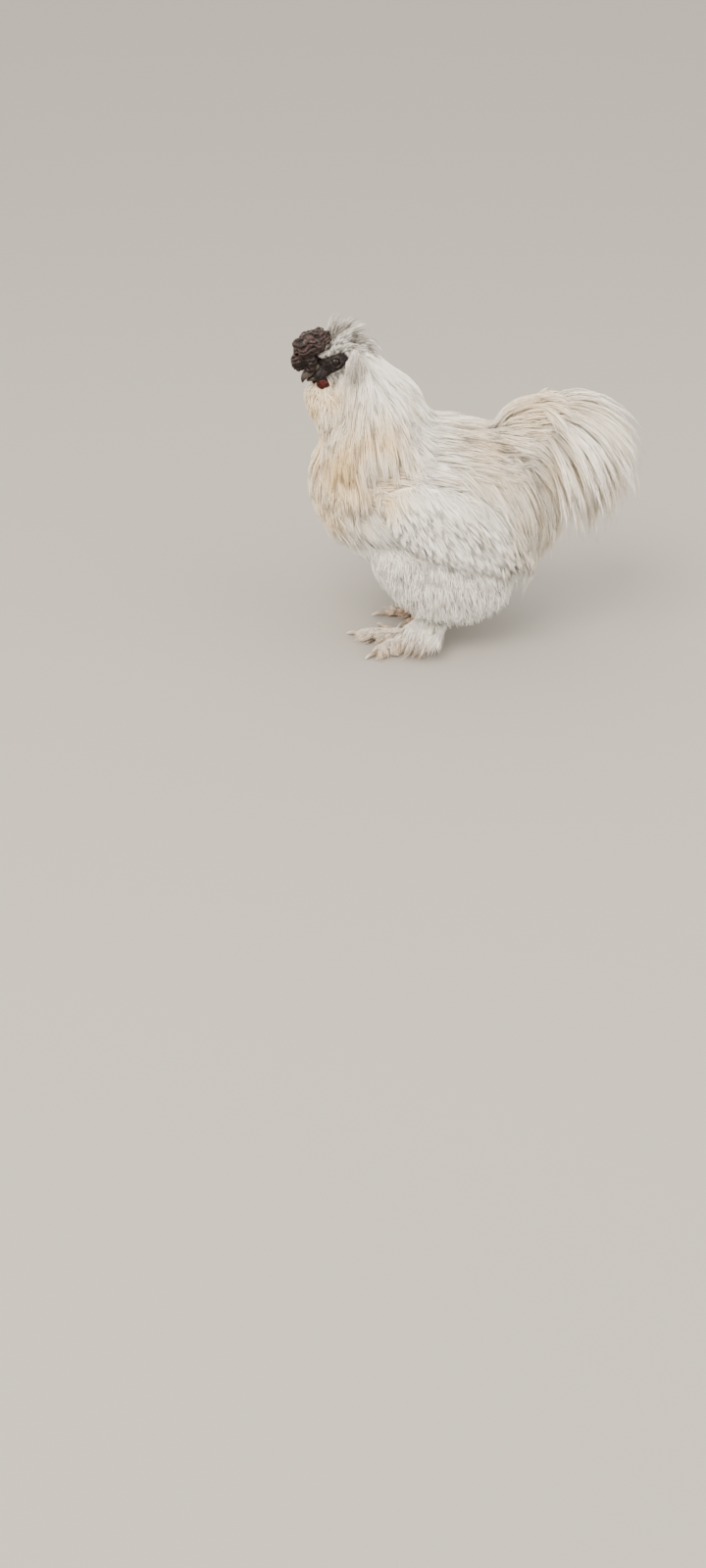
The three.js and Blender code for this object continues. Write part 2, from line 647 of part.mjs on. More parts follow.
// The tail feathers leave their root like a fan and arch over to hang at their tips.
function tailFeathers(nearest) {
  const random = seeded(5);
  const centre = V(...TAIL.stations[1].at);
  return TAIL_TIERS.flatMap((tier, t) =>
    Array.from({ length: tier.count }, (_, i) => {
      const share = (i + 0.5 + 0.2 * (random() - 0.5)) / tier.count;
      const bearing = radians(lerp(-tier.fan, tier.fan, share));
      const slopes = tier.slopes.map((slope) => radians(slope + 5 * (random() - 0.5)));
      const high = radians(tier.from);
      const way = V(Math.cos(bearing) * Math.cos(high), Math.sin(bearing) * Math.cos(high), Math.sin(high));
      const outside = centre.clone().addScaledVector(way, TAIL.stations[1].high);
      const root = nearest(outside).point.addScaledVector(way, -TAIL_SINK);
      const length = tier.length * (0.9 + 0.2 * random());
      return arched(root, bearing, slopes, { length, wide: tier.wide, hub: TAIL_HUB, steps: 4 });
    }),
  );
}

const mirroredRows = (rows, sign) =>
  rows.map((row) => ({ ...row, arc: sign > 0 ? row.arc : row.arc.map((angle) => 180 - angle) }));

// Every sub-part: its core at a given growth and its colour, where the earlier ones keep their whole shape.
const parts = [];
const add = (name, color, core, more = {}) => parts.push({ name, color, core, ...more });

for (const { side, sign } of SIDES) {
  add(`eye_${side}`, COLORS.eye, eye(sign));
  for (const toe of TOES) {
    add(`claw_${side}_${toe.name}`, COLORS.claw, (grow) => claw(FEET[side], toe, sign, grow));
  }
}
add("head", COLORS.head, head, { extras: () => SIDES.map(({ sign }) => lid(sign)), locks: crest, order: 0 });
add("upper_beak", COLORS.horn, upperBeak);
add("lower_beak", COLORS.horn, (grow) => loft(LOWER_BEAK, grow));
add("comb", COLORS.comb, comb);
for (const { side, sign } of SIDES) {
  add(`wattle_${side}`, COLORS.wattle, (grow) => lump(sideOf(WATTLE.at, sign), WATTLE.radii, HEAD_AXES, [10, 7], grow));
  add(`earlobe_${side}`, COLORS.lobe, (grow) => lump(sideOf(EARLOBE.at, sign), EARLOBE.radii, HEAD_AXES, [9, 6], grow));
}
for (const { side, sign } of SIDES) {
  add(`foot_${side}`, COLORS.foot, footCore(FEET[side], sign), {
    locks: toeFeathers(FEET[side], sign),
    order: 8,
    floor: 0,
  });
}
SIDES.forEach(({ side, sign }, i) => {
  const form = shankForm(FEET[side]);
  const rows = mirroredRows(SHANK_ROWS, sign).map((row) => ({ ...row, lie: [row.lie[0], row.lie[1] * sign, row.lie[2]] }));
  add(`shank_${side}`, COLORS.shank, (grow) => loft(form, grow), {
    locks: (nearest) => coatOf(form, rows, nearest, 77 + i),
    order: 7,
  });
});
add("torso", COLORS.torso, (grow) => loft(TORSO, grow), {
  locks: (nearest) => coatOf(TORSO, TORSO_ROWS, nearest, 11),
  order: 6,
});
SIDES.forEach(({ side, sign }, i) => {
  const form = mirrored(THIGH, sign);
  add(`thigh_${side}`, COLORS.thigh, (grow) => loft(form, grow), {
    locks: (nearest) => coatOf(form, mirroredRows(THIGH_ROWS, sign), nearest, 24 + i),
    order: 5,
  });
});
add("neck", COLORS.neck, (grow) => joined([loft(NECK, grow), loft(THROAT, grow)]), {
  locks: (nearest) => [
    ...coatOf(NECK, NECK_ROWS, nearest, 31),
    ...coatOf(THROAT, THROAT_ROWS, nearest, 32),
  ],
  order: 1,
});
SIDES.forEach(({ side, sign }, i) => {
  const form = mirrored(WING, sign);
  add(`wing_${side}`, COLORS.wing, (grow) => loft(form, grow), {
    locks: (nearest) => coatOf(form, mirroredRows(WING_ROWS, sign), nearest, 82 + i),
    order: 3,
  });
});
add("tail", COLORS.tail, (grow) => loft(TAIL, grow), { locks: tailFeathers, order: 2 });

// Below the ground there is nothing: feet are cut flat on it, and all else stays clear of it.
const below = (level) => solidOf(new THREE.BoxGeometry(1200, 1200, 200).translate(0, 0, level - 100));

const touches = (a, b) => {
  const [p, q] = [a.boundingBox(), b.boundingBox()];
  return [0, 1, 2].every((k) => p.min[k] < q.max[k] && q.min[k] < p.max[k]);
};

const without = (solid, cutters) => {
  const near = cutters.filter((cutter) => touches(cutter, solid));
  return near.length ? solid.subtract(joined(near)) : solid;
};

// Cores give way to earlier cores. Locks give way to every other core and to the locks that lie over them.
function build() {
  const grownCores = parts.map((part) => part.core(GAP));
  const cores = parts.map((part, i) => {
    const solid = part.core(0);
    return without(part.extras ? joined([solid, ...part.extras()]) : solid, grownCores.slice(0, i));
  });
  const nearest = surfaceOf(joined(parts.map((part) => part.core(0))));
  const coats = parts.map((part) => (part.locks ? part.locks(nearest) : []));
  const grownCoats = coats.map((locks) => locks.map((lock) => lockSolid(lock, GAP)));
  return parts.map((part, i) => {
    const otherCores = grownCores.filter((_, k) => k !== i);
    const over = grownCoats.flatMap((locks, k) => (parts[k].order < part.order ? locks : []));
    const level = below(part.floor ?? CLEAR_OF_GROUND);
    const locks = coats[i].map((lock) => without(lockSolid(lock), [...otherCores, ...over, level]));
    return largest(joined([without(cores[i], [level]), ...locks]));
  });
}

function meshOf(solid, part) {
  const { vertProperties, triVerts } = solid.getMesh();
  const geometry = new THREE.BufferGeometry()
    .setAttribute("position", new THREE.BufferAttribute(new Float32Array(vertProperties), 3))
    .setIndex(new THREE.BufferAttribute(new Uint32Array(triVerts), 1));
  geometry.computeVertexNormals();
  const material = new THREE.MeshStandardMaterial({ color: part.color, roughness: 0.8, metalness: 0 });
  const mesh = new THREE.Mesh(geometry, material);
  mesh.name = part.name;
  return mesh;
}

// The origin is under the middle of the whole model, on the ground.
const silkie = new THREE.Group();
const solids = build();
solids.forEach((solid, i) => silkie.add(meshOf(solid, parts[i])));
const extent = new THREE.Box3().setFromObject(silkie);
const middle = extent.getCenter(V(0, 0, 0));
silkie.position.set(-middle.x, -middle.y, 0);

export default silkie;
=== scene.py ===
"""The looks of a life-size white silkie cock that stands still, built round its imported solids."""

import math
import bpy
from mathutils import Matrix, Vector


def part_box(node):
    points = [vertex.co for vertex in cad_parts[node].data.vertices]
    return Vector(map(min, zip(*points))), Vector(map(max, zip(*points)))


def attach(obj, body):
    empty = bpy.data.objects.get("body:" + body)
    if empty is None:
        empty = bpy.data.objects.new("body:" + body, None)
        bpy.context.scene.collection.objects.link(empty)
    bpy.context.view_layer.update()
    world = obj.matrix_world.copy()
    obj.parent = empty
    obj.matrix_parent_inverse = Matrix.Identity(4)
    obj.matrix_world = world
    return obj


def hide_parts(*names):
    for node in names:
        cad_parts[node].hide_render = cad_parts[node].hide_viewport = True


bl_info = {
    "name": "Silkie Cock",
    "version": (1, 0, 0),
    "blender": (4, 5, 0),
    "location": "3D View > Sidebar > Silkie",
    "description": "Builds the skin, face, feet and silky coat of a silkie cock, and the stage round it",
    "category": "Object",
}

import bmesh
import bpy
import numpy as np
from mathutils.bvhtree import BVHTree

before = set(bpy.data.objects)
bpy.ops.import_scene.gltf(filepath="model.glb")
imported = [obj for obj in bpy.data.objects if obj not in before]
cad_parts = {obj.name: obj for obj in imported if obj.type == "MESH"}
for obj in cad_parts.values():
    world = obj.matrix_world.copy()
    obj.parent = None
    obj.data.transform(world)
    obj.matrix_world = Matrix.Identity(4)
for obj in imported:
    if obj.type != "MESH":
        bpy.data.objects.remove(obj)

MM = 0.001
SIDES = (("left", -1), ("right", 1))

# The bird's places and sizes are in millimetres, where it faces -X and its left side is -Y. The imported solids
# stand a little aside from these places, and in_frame moves each piece to them. The stage is in metres.


def core(stations, full, **more):
    """A form round a spine. Each station has its place, half width, half height and depth of coat."""
    return {"at": [row[:3] for row in stations], "size": [row[3:] for row in stations], "full": full, **more}


TORSO = core(
    [
        (-178, 0, 200, 50, 56, 13),
        (-146, 0, 186, 68, 74, 13),
        (-95, 0, 166, 80, 88, 13),
        (-40, 0, 156, 84, 92, 13),
        (10, 0, 154, 80, 90, 13),
        (55, 0, 160, 66, 82, 13),
        (92, 0, 166, 48, 62, 13),
    ],
    0.62,
)
NECK = core(
    [
        (-124, 1, 330, 17, 15, 4),
        (-125, 1, 312, 26, 21, 6),
        (-120, 0, 284, 39, 40, 9),
        (-110, 0, 254, 54, 55, 12),
        (-109, 0, 220, 67, 65, 13),
        (-112, 0, 182, 73, 66, 13),
        (-112, 0, 148, 66, 60, 13),
    ],
    0.5,
)
THROAT = core(
    [
        (-158, -6, 290, 15, 13, 3),
        (-160, -5, 272, 25, 23, 5),
        (-154, -3, 250, 34, 21, 7),
        (-146, 0, 222, 38, 24, 8),
    ],
    0.5,
)
THIGH = core(
    [
        (-112, 38, 118, 34, 34, 10),
        (-66, 44, 100, 42, 50, 10),
        (-16, 46, 84, 42, 56, 10),
        (40, 42, 76, 34, 44, 10),
    ],
    0.7,
)
WING = core(
    [
        (-104, 62, 182, 10, 20, 5),
        (-74, 76, 175, 12, 35, 5),
        (-32, 80, 158, 12, 38, 5),
        (6, 74, 136, 11, 30, 5),
        (40, 62, 106, 7, 13, 5),
    ],
    0.6,
)
TAIL = core(
    [
        (26, 0, 214, 30, 28, 0),
        (52, 0, 226, 34, 34, 0),
        (82, 0, 222, 32, 34, 0),
        (110, 0, 200, 20, 20, 0),
    ],
    0.6,
)
TAIL_HUB = np.array((66.0, 0.0, 170.0))

# The head turns towards the left and dips.
HEAD_AT = np.array((-147.0, 1.0, 310.0))
HEAD_TURN = math.radians(25)
HEAD_DIP = math.radians(20)
FORWARD = np.array(
    (
        -math.cos(HEAD_DIP) * math.cos(HEAD_TURN),
        -math.cos(HEAD_DIP) * math.sin(HEAD_TURN),
        -math.sin(HEAD_DIP),
    )
)
LEFTWARD = np.array((math.sin(HEAD_TURN), -math.cos(HEAD_TURN), 0.0))
UPWARD = np.cross(FORWARD, LEFTWARD)
HEAD_RADII = (26, 18, 19)
EYE_AT = (9, 13.6, 2)
EYE_RADIUS = 5.2

FEET = {
    "left": {"base": (-73, -43, 0), "hock": (-24, -46, 64), "heading": -18},
    "right": {"base": (-42, 25, 0), "hock": (4, 40, 62), "heading": -4},
}
TOES = {
    "inner": {"bearing": -36, "length": 40, "radius": 4.4, "claw": 11, "rise": 0},
    "middle": {"bearing": 0, "length": 54, "radius": 4.8, "claw": 12, "rise": 0},
    "outer": {"bearing": 56, "length": 44, "radius": 4.4, "claw": 11, "rise": 0},
    "hind": {"bearing": 188, "length": 19, "radius": 4.2, "claw": 10, "rise": 0},
    "fifth": {"bearing": 150, "length": 22, "radius": 3.8, "claw": 11, "rise": 16},
}
FOOT_HEIGHT = 6
FOOT_BALL = (9, 8.5, 7.5)
SHANK_RADII = (6.2, 9)

# The coat
UNWRAP_PATCH = 0.003
# How far strands of one lock stand apart in the unwrap, for each millimetre of its half width.
UNWRAP_SPREAD = 0.0022
# How much of the unwrap the roots use, so that the last patch stays inside it.
UNWRAP_SHARE = 0.99
# How deep under the skin a form may lie and still bear the roots of its coat.
HOLLOW = 5
PIECE_LIMIT = 200000
# How far the coat may reach to each side of the bird's middle, and where it begins to bend back.
SIDE_REACH = (-101, 94)
SIDE_EASE = 16
# Turning by this share of a circle from root to root scatters roots evenly.
GOLDEN_TURN = 0.61803398875
ROOT_JITTER = 0.05
ROOT_DEPTH = 3
# The latest share of a lock's guide at which a strand of it begins.
LATEST_START = 0.14
# How far above the ground the lowest strands end.
GROUND_CLEARANCE = 0.9


# Numbers and curves


def unit(vectors):
    """Vectors scaled to length one along their last axis."""
    vectors = np.asarray(vectors, float)
    return vectors / np.maximum(np.linalg.norm(vectors, axis=-1, keepdims=True), 1e-9)


def dot(a, b):
    """The dot products of two arrays of vectors, kept as a column."""
    return (a * b).sum(-1, keepdims=True)


def curve(points, share):
    """Points of the smooth curve through some points, at shares from 0 to 1."""
    points = np.asarray(points, float)
    ends = np.vstack([2 * points[0] - points[1], points, 2 * points[-1] - points[-2]])
    x = np.clip(share, 0, 1) * (len(points) - 1)
    i = np.minimum(x.astype(int), len(points) - 2)
    t = (x - i)[..., None]
    a, b, c, d = ends[i], ends[i + 1], ends[i + 2], ends[i + 3]
    leave = (c - a) / 2
    reach = (d - b) / 2
    return (2 * b - 2 * c + leave + reach) * t**3 + (3 * c - 3 * b - 2 * leave - reach) * t**2 + leave * t + b


def blend(first, last, share):
    """Values a share of the way from the first ones to the last."""
    return np.asarray(first, float) * (1 - share) + np.asarray(last, float) * share


def between(pair, share):
    """The value at a share of the way from the first of a pair to the second."""
    return pair[0] + (pair[1] - pair[0]) * share


def ramp(distance, width):
    """0 before an edge, 1 from a width past it, and even between."""
    return np.clip(distance / width, 0, 1)


def bell(distance, width):
    """1 at no distance, and softly down to 0 within about twice the width."""
    return np.exp(-((distance / width) ** 2))


RIPPLE_WAVES = 9


def ripple(points, wave, seed):
    """Smooth noise of about -1 to 1, with features about wave millimetres wide."""
    rng = np.random.default_rng(seed)
    total = np.zeros(len(points))
    for _ in range(RIPPLE_WAVES):
        way = unit(rng.normal(size=3)) * rng.uniform(0.7, 1.5) * 2 * math.pi / wave
        total += np.sin(points @ way + rng.uniform(0, 2 * math.pi))
    return total / math.sqrt(RIPPLE_WAVES)


def head_point(place):
    """A place on the head, given forward, to the left and up from its middle."""
    forward, left, up = place
    return HEAD_AT + forward * FORWARD + left * LEFTWARD + up * UPWARD


def head_axes():
    return np.array([FORWARD, LEFTWARD, UPWARD])


def from_head(verts):
    """Places as seen from the middle of the head: forward, to the left and up."""
    return (verts - HEAD_AT) @ head_axes().T


def side_point(place, sign):
    """A place on one side of the head, from its place on the left side."""
    forward, aside, up = place
    return head_point((forward, -sign * aside, up))


def mirrored(form, sign):
    return {**form, "at": [(x, y * sign, z) for x, y, z in form["at"]]}


def section(form, share):
    """Centre, axes and half sizes of a form's core at shares of its spine."""
    share = np.asarray(share, float)
    step = 1e-3
    along = unit(curve(form["at"], share + step) - curve(form["at"], share - step))
    size = curve(form["size"], share)
    side = np.broadcast_to(np.asarray(form.get("side", (0, 1, 0)), float), along.shape)
    side = unit(side - along * dot(side, along))
    coat = size[..., 2]
    centre = curve(form["at"], share) + along * ((1 - 2 * share) * coat)[..., None]
    return centre, along, side, np.cross(along, side), size[..., 0] - coat, size[..., 1] - coat


def on_form(form, share, angle, grow=0.0):
    """Points of a form's surface, by share of its spine and angle from its right side over its back."""
    share = np.asarray(share, float)
    centre, along, side, back, wide, high = section(form, share)
    taper = np.sqrt(np.clip(4 * share * (1 - share), 0, 1)) ** form["full"]
    return (
        centre
        + side * (np.cos(angle) * (wide + grow) * taper)[..., None]
        + back * (np.sin(angle) * (high + grow) * taper)[..., None]
        + along * ((2 * share - 1) * grow)[..., None]
    )


# Meshes

# Rings and corners of a finely made ball.
FINE_BALL = (31, 48)


def grid_faces(rings, around):
    """Faces of a closed tube of rings, with a vertex at each end: the first and the last."""
    faces = []
    for r in range(rings - 1):
        for k in range(around):
            a = 1 + r * around + k
            b = 1 + r * around + (k + 1) % around
            faces.append((a, b, b + around, a + around))
    last = 1 + rings * around
    for k in range(around):
        faces.append((0, 1 + (k + 1) % around, 1 + k))
        low = 1 + (rings - 1) * around
        faces.append((last, low + k, low + (k + 1) % around))
    return faces


def loft(form, rings, around, grow=0.0):
    """Vertices, faces and each vertex's share of the spine, for a form's closed surface."""
    share = (1 - np.cos(np.linspace(0, math.pi, rings + 2)[1:-1])) / 2
    turn = np.arange(around) * 2 * math.pi / around
    s, a = np.meshgrid(share, turn, indexing="ij")
    ends = on_form(form, np.array((0.0, 1.0)), np.zeros(2), grow)
    verts = np.vstack([ends[:1], on_form(form, s, a, grow).reshape(-1, 3), ends[1:]])
    return verts, grid_faces(rings, around), np.concatenate([[0], s.ravel(), [1]])


def ball(at, radii, axes=None, rings=15, around=24):
    """Vertices, faces and shares of a rounded lump with three half sizes along three axes."""
    share = np.linspace(0, math.pi, rings + 2)[1:-1]
    turn = np.arange(around) * 2 * math.pi / around
    s, a = np.meshgrid(share, turn, indexing="ij")
    local = np.stack([np.sin(s) * np.cos(a), np.sin(s) * np.sin(a), np.cos(s)], -1).reshape(-1, 3)
    local = np.vstack([[(0, 0, 1)], local, [(0, 0, -1)]]) * radii
    axes = np.eye(3) if axes is None else axes
    return local @ axes + at, grid_faces(rings, around), (1 + local[:, 2] / radii[2]) / 2


def merged(shapes):
    """One set of vertices, faces and shares out of several."""
    verts = []
    faces = []
    shares = []
    start = 0
    for v, f, s in shapes:
        verts.append(v)
        faces += [tuple(i + start for i in face) for face in f]
        shares.append(s)
        start += len(v)
    return np.vstack(verts), faces, np.concatenate(shares)


def frame_shift():
    """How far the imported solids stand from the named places, by the middle of the left eye."""
    low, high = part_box("eye_left")
    middle = (np.array(low) + np.array(high)) / 2
    return middle / MM - side_point(EYE_AT, -1)


def in_frame(verts):
    """Named places, in millimetres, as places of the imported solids, in metres."""
    return (np.asarray(verts) + frame_shift()) * MM


def store(mesh, **masks):
    """Keeps a number for each vertex under each name, for the materials to read."""
    for name, values in masks.items():
        mesh.attributes.new(name, "FLOAT", "POINT").data.foreach_set("value", np.asarray(values, np.float32))


def new_object(name, verts, faces, **masks):
    """A smooth mesh object from vertices in millimetres, with masks for its material."""
    mesh = bpy.data.meshes.new(name)
    mesh.from_pydata(in_frame(verts).tolist(), [], [list(face) for face in faces])
    store(mesh, **masks)
    mesh.shade_smooth()
    obj = bpy.data.objects.new(name, mesh)
    bpy.context.scene.collection.objects.link(obj)
    return obj


def facing_out(obj):
    """Turns every face of a closed mesh outwards."""
    work = bmesh.new()
    work.from_mesh(obj.data)
    bmesh.ops.recalc_face_normals(work, faces=work.faces)
    work.to_mesh(obj.data)
    work.free()
    return obj


def remeshed(name, shapes, grain, smoothing):
    """One closed mesh round several shapes, of even quads about grain millimetres across."""
    verts, faces, _ = merged(shapes)
    obj = facing_out(new_object(name, verts, faces))
    remesh = obj.modifiers.new("One skin", "REMESH")
    remesh.mode = "VOXEL"
    remesh.voxel_size = grain * MM
    smooth = obj.modifiers.new("Smooth", "SMOOTH")
    smooth.factor = 0.5
    smooth.iterations = smoothing
    bpy.context.view_layer.update()
    baked = bpy.data.meshes.new_from_object(obj.evaluated_get(bpy.context.evaluated_depsgraph_get()))
    obj.modifiers.clear()
    obj.data = baked
    baked.name = name
    baked.shade_smooth()
    return obj


def placed(obj):
    """A mesh's vertices as named places, in millimetres, and its vertex normals."""
    count = len(obj.data.vertices)
    verts = np.empty(count * 3)
    normals = np.empty(count * 3)
    obj.data.vertices.foreach_get("co", verts)
    obj.data.vertices.foreach_get("normal", normals)
    return verts.reshape(-1, 3) / MM - frame_shift(), normals.reshape(-1, 3)


def move_to(obj, verts):
    obj.data.vertices.foreach_set("co", in_frame(verts).ravel())
    obj.data.update()


def refine(obj, wanted):
    """Splits each face whose vertices are all wanted into four."""
    work = bmesh.new()
    work.from_mesh(obj.data)
    work.verts.ensure_lookup_table()
    edges = [e for e in work.edges if wanted[e.verts[0].index] and wanted[e.verts[1].index]]
    bmesh.ops.subdivide_edges(work, edges=edges, cuts=1, use_grid_fill=True, smooth=0.0)
    work.to_mesh(obj.data)
    work.free()
    obj.data.shade_smooth()


def finished(obj, material, replaces=()):
    """Gives a piece its material, hangs it on the root and hides the solids it stands for."""
    obj.data.materials.clear()
    obj.data.materials.append(material)
    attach(obj, "root")
    if replaces:
        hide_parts(*replaces)
    return obj


# Feet


def ahead(bearing, sign):
    """A direction on the ground, turned from straight ahead away from the body's midline."""
    turn = math.radians(bearing)
    return np.array((-math.cos(turn), sign * math.sin(turn), 0.0))


def raised(point, height):
    return (point[0], point[1], height)


def toe_form(foot_side, sign, toe):
    """A toe from the ball of the foot to its tip, with the direction in which it points."""
    foot = FEET[foot_side]
    bearing = foot["heading"] + toe["bearing"]
    way = ahead(bearing, sign)
    rise = toe["rise"]
    start = np.array(foot["base"], float) + 3 * way
    start[2] = FOOT_HEIGHT + 0.6 * rise
    low = 0.8 * toe["radius"] + rise
    length = toe["length"]
    at = [
        tuple(start),
        raised(start + 0.35 * length * way, low + 2.2),
        raised(start + 0.7 * length * way, low + 0.6),
        raised(start + length * way, low),
    ]
    size = [(toe["radius"] * share, toe["radius"] * share, 0) for share in (1.15, 1, 0.95, 0.8)]
    side = ahead(bearing + 90, sign)
    return {"at": at, "size": size, "full": 0.45, "side": side, "way": way, "tip": np.array(at[3])}


def claw_form(side, sign, toe):
    form = toe_form(side, sign, toe)
    size = toe["radius"] * 0.6
    tip = form["tip"]
    reach = toe["claw"] * form["way"]
    at = [
        raised(tip - 0.35 * reach, tip[2]),
        raised(tip + 0.3 * reach, tip[2] + 0.6),
        raised(tip + 0.75 * reach, tip[2] - 0.8),
        raised(tip + reach, tip[2] - 2),
    ]
    sizes = [(size, size, 0), (0.85 * size, 0.9 * size, 0), (0.5 * size, 0.6 * size, 0), (0.5, 0.5, 0)]
    return {"at": at, "size": sizes, "full": 0.4, "side": form["side"]}


def shank_form(side):
    foot = FEET[side]
    base = np.array(raised(foot["base"], FOOT_HEIGHT), float)
    hock = np.array(foot["hock"], float)
    shares = (0, 0.33, 0.66, 1)
    sizes = [between(SHANK_RADII, share**2) for share in shares]
    return {
        "at": [tuple(base + (hock - base) * share) for share in shares],
        "size": [(size, size, 0) for size in sizes],
        "full": 0.4,
    }


# Strands


class Surface:
    """The skin, as something that strands can be laid on."""

    def __init__(self):
        skin = bpy.data.objects["skin"]
        self.tree = BVHTree.FromObject(skin, bpy.context.evaluated_depsgraph_get())
        self.shift = frame_shift()

    def nearest(self, points):
        """The nearest points of the skin and the normals there."""
        found = [self.tree.find_nearest(p) for p in ((points + self.shift) * MM).tolist()]
        at = np.array([f[0] for f in found]) / MM - self.shift
        return at, np.array([f[1] for f in found])


def laid(surface, roots, laying, steps=7):
    """Guides that follow the lie of the coat over the skin, lift from it and hang free past an edge."""
    at, normal = surface.nearest(roots)
    path = [at - laying.get("sink", ROOT_DEPTH) * normal]
    normals = [normal]
    p = at.copy()
    for k in range(1, steps + 1):
        t = k / steps
        way = unit(blend(laying["lie"], laying["hang"], t))
        way = unit(way - normals[-1] * np.minimum(dot(way, normals[-1]), 0))
        p = p + way * (laying["length"] / steps)[:, None]
        at, normal = surface.nearest(p)
        height = dot(p - at, normal)
        far = height - (laying["lift"] * (0.3 + 0.7 * t))[:, None]
        p = p - normal * far * np.where(far < 0, 1.0, laying["cling"])
        p[:, 2] = np.maximum(p[:, 2], GROUND_CLEARANCE + 1)
        path.append(p.copy())
        normals.append(normal)
    return np.stack(path, 1), np.stack(normals, 1)


def arched(roots, bearing, slopes, length, hub, steps=9):
    """Guides that bend by themselves, from one slope to another in the plane of their bearing."""
    level = np.stack([np.cos(bearing), np.sin(bearing), np.zeros_like(bearing)], -1)
    path = [roots]
    for k in range(1, steps + 1):
        slope = slopes[0] + (slopes[1] - slopes[0]) * (k - 0.5) / steps
        step = level * np.cos(slope)[:, None] + np.array((0, 0, 1.0)) * np.sin(slope)[:, None]
        path.append(path[-1] + step * (length / steps)[:, None])
    path = np.stack(path, 1)
    return path, unit(path - hub)


def along_guides(values, guide, share):
    """Values of each strand's guide at shares of the guide."""
    x = share * (values.shape[1] - 1)
    i = np.minimum(x.astype(int), values.shape[1] - 2)
    f = (x - i)[..., None]
    rows = guide[:, None]
    return blend(values[rows, i], values[rows, i + 1], f)


def strands(rng, path, normals, look, unwrap):
    """Tapered strands round each guide: vertices, triangles, and each vertex's share, shade and unwrap."""
    count = look["strands"]
    rings = look["rings"]
    guide = np.repeat(np.arange(len(path)), count)
    total = len(guide)
    across = rng.uniform(-1, 1, total)
    over = rng.uniform(-0.2, 1, total)
    begin = rng.uniform(0, LATEST_START, total)
    end = rng.uniform(1 - look["ragged"], 1, total)
    t = np.linspace(0, 1, rings + 1)[None, :]
    share = begin[:, None] + (end - begin)[:, None] * t
    centre = along_guides(path, guide, share)
    normal = unit(along_guides(normals, guide, share))
    along = unit(np.gradient(centre, axis=1))
    side = unit(np.cross(along, normal))
    wide = look["wide"] * rng.uniform(0.75, 1.25, len(path))[guide]
    gather = 1 - look["gather"] * t**1.3
    wave = np.sin(share * rng.uniform(3, 8, total)[:, None] + rng.uniform(0, 6.3, total)[:, None]) * t
    stray = rng.normal(size=(total, 1)) * look["stray"] * t**1.5
    off = across[:, None] * wide[:, None] * gather + wave * look["wave"] + stray
    rise = over[:, None] * look["thick"] * np.sin(math.pi * np.clip(0.15 + 0.85 * t, 0, 1)) ** 0.7
    rise = rise + rng.normal(size=(total, 1)) * look["stray"] * 0.5 * t**1.5
    centre = within_reach(centre + side * off[..., None] + normal * rise[..., None])
    centre[..., 2] = np.maximum(centre[..., 2], GROUND_CLEARANCE)
    girth = look["girth"] * rng.uniform(0.7, 1.3, total)[:, None] * (1 - t) ** 0.6 * (0.75 + 0.6 * t)
    body = centre[:, :rings]
    half = girth[:, :rings, None]
    aside = side[:, :rings] * half
    corners = np.stack([body - aside, body + normal[:, :rings] * half * 0.7, body + aside], 2)
    verts = np.concatenate([corners.reshape(total, rings * 3, 3), centre[:, rings:]], 1)
    verts[..., 2] = np.maximum(verts[..., 2], GROUND_CLEARANCE)

    faces = [(0, 2, 1)]
    for r in range(rings - 1):
        for k in range(3):
            a = 3 * r + k
            b = 3 * r + (k + 1) % 3
            faces += [(a, b, b + 3), (a, b + 3, a + 3)]
    tip = 3 * rings
    faces += [(tip - 3 + k, tip - 3 + (k + 1) % 3, tip) for k in range(3)]
    each = tip + 1
    triangles = np.array(faces)[None] + (np.arange(total) * each)[:, None, None]

    level = np.concatenate([np.repeat(np.arange(rings) / rings, 3), [1.0]])
    patch_u = np.concatenate([np.tile((0.0, 0.5, 1.0), rings), [0.5]])
    patch = np.stack([patch_u, level], -1) * UNWRAP_PATCH
    root = unwrap[guide]
    root = root + np.stack([across * look["wide"] * UNWRAP_SPREAD, np.zeros(total)], -1)
    shade = (0.6 * rng.uniform(0, 1, len(path))[guide] + 0.4 * rng.uniform(0, 1, total))[:, None]
    return (
        verts.reshape(-1, 3),
        triangles.reshape(-1, 3),
        np.tile(level, total),
        np.repeat(shade, each, 1).ravel(),
        (root[:, None] + patch[None]).reshape(-1, 2),
    )


def within_reach(points):
    """Points of the coat, eased back where they pass the reach of the solids at the sides."""
    y = points[..., 1]
    for limit in SIDE_REACH:
        way = np.sign(limit)
        start = abs(limit) - SIDE_EASE
        past = np.maximum(way * y - start, 0)
        y = np.where(past > 0, way * (start + SIDE_EASE * np.tanh(past / SIDE_EASE)), y)
    points[..., 1] = y
    return points


